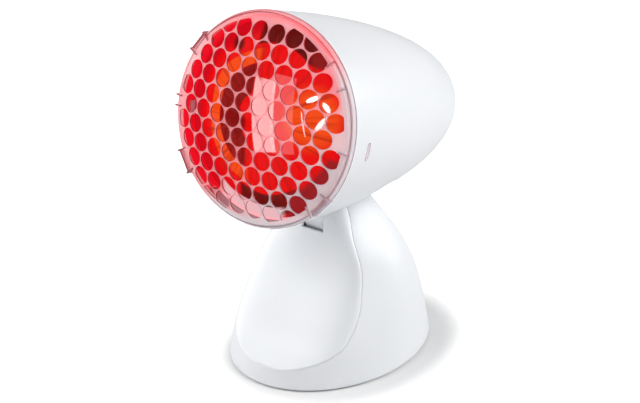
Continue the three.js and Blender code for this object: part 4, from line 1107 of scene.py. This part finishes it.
def studio_world():
    """A faint cool light all round, which cameras, metal and glass see as plain white."""
    world = bpy.data.worlds.new("studio")
    world.use_nodes = True
    sky = Nodes(world.node_tree)
    sky.tree.nodes.clear()
    camera, glossy, clear = (
        sky.node("ShaderNodeLightPath", output=ray)
        for ray in ("Is Camera Ray", "Is Glossy Ray", "Is Transmission Ray"))
    soft, white = (
        sky.node("ShaderNodeBackground", None, {"Color": colour, "Strength": strength})
        for colour, strength in (((0.93, 0.96, 1.0, 1.0), WORLD_STRENGTH), (WHITE + (1,), 1.0)))
    mixed = sky.node("ShaderNodeMixShader", None, {0: camera + glossy + clear, 1: soft, 2: white})
    sky.join(mixed, sky.tree.nodes.new("ShaderNodeOutputWorld").inputs["Surface"])
    return world


class BuildStage(bpy.types.Operator):
    """Build the floor, the lights and the camera"""
    bl_idname = "heat_lamp.stage"
    bl_label = "Stage"

    def execute(self, context):
        scene = context.scene
        camera = bpy.data.cameras.new("camera")
        camera.lens, camera.sensor_width = 90.0, 36.0
        viewer = bpy.data.objects.new("camera", camera)
        scene.collection.objects.link(viewer)
        viewer.location = CAMERA_PLACE
        viewer.rotation_euler = (CAMERA_PITCH, 0, CAMERA_TURN)
        scene.camera = viewer

        bpy.ops.mesh.primitive_plane_add(size=6, location=(0, 0, 0))
        floor = bpy.context.object
        floor.name = "floor"
        floor.data.materials.append(floor_paper())

        light_stage()
        scene.world = studio_world()
        scene.view_settings.view_transform = "Standard"
        return {"FINISHED"}


FINISHES = {}
# The guard's edge tones are painted shade, rosy where the bulb's red light is painted in
EDGE_ROSY, EDGE_GREY, LATCH_ROSY = (0.40, 0.05, 0.07, 1), (0.40, 0.28, 0.32, 1), (0.66, 0.54, 0.59, 1)


class MixFinishes(bpy.types.Operator):
    """Mix the plastics, metals and glass"""
    bl_idname = "heat_lamp.finishes"
    bl_label = "Finishes"

    def execute(self, context):
        colours = context.scene.heat_lamp_colours
        for name, mix, *how in (
            ("white_plastic", moulded, colours.shell, 0.34, 0.000002, 0.006, 900.0),
            # The clear plastic's last number is the strength of its painted red glow
            ("clear_plastic", guard_plastic, colours.guard, colours.guard_grey, 0.45, 0.7),
            ("guard_edge", guard_plastic, EDGE_ROSY, EDGE_GREY, 0.85),
            ("guard_latch", guard_plastic, LATCH_ROSY, LATCH_ROSY, 0.95),
            ("lit_wall", lit_wall, colours.shell),
            ("red_glass", lens_glow_painted_reflections, colours.lens),
            ("stained_cup", stained_cup, colours.lens),
            ("clear_glass", glass, (0.95, 0.97, 0.97, 1.0), 0.01, 1.5),
            ("grey_plastic", moulded, colours.inner, 0.5),
            ("black_plastic", moulded, colours.dark, 0.35),
            ("rubber", moulded, colours.dark, 0.8, 0.00005),
            ("wire_cover", moulded, (0.7, 0.7, 0.7, 1.0), 0.5),
            ("ceramic", moulded, (0.8, 0.77, 0.7, 1.0), 0.45, 0.00006),
            ("brass", metal, (0.72, 0.52, 0.25, 1.0), 0.3),
            ("steel", metal, (0.6, 0.61, 0.63, 1.0), 0.32, (1, 1, 8)),
            ("aluminium", metal, (0.82, 0.83, 0.84, 1.0), 0.25),
        ):
            FINISHES[name] = mix(name, *how)
        return {"FINISHED"}


class HeatLampPanel(bpy.types.Panel):
    bl_label = "Heat lamp"
    bl_idname = "VIEW3D_PT_heat_lamp"
    bl_space_type = "VIEW_3D"
    bl_region_type = "UI"
    bl_category = "Heat lamp"

    def draw(self, context):
        for name in GROUPS:
            group = getattr(context.scene, name)
            for key in group.__annotations__:
                self.layout.prop(group, key)
        for builder in BUILDERS:
            self.layout.operator(builder.bl_idname)


GROUPS = {
    "heat_lamp_head": HeatLampHeadSizes,
    "heat_lamp_base": HeatLampBaseSizes,
    "heat_lamp_colours": HeatLampColours,
}
BUILDERS = (
    MixFinishes, DressNodes, BuildHead, BuildTongue, BuildGuard, BuildBulb,
    BuildRearShell, BuildFace, BuildSwitch, BuildRubber, BuildStage,
)


def register():
    for made in (*GROUPS.values(), *BUILDERS, HeatLampPanel):
        bpy.utils.register_class(made)
    for name, group in GROUPS.items():
        setattr(bpy.types.Scene, name, bpy.props.PointerProperty(type=group))


def unregister():
    for name in GROUPS:
        delattr(bpy.types.Scene, name)
    for made in (HeatLampPanel, *reversed(BUILDERS), *reversed(GROUPS.values())):
        bpy.utils.unregister_class(made)


def main():
    register()
    for builder in BUILDERS:
        getattr(bpy.ops.heat_lamp, builder.bl_idname.split(".")[1])()


if __name__ == "__main__":
    main()
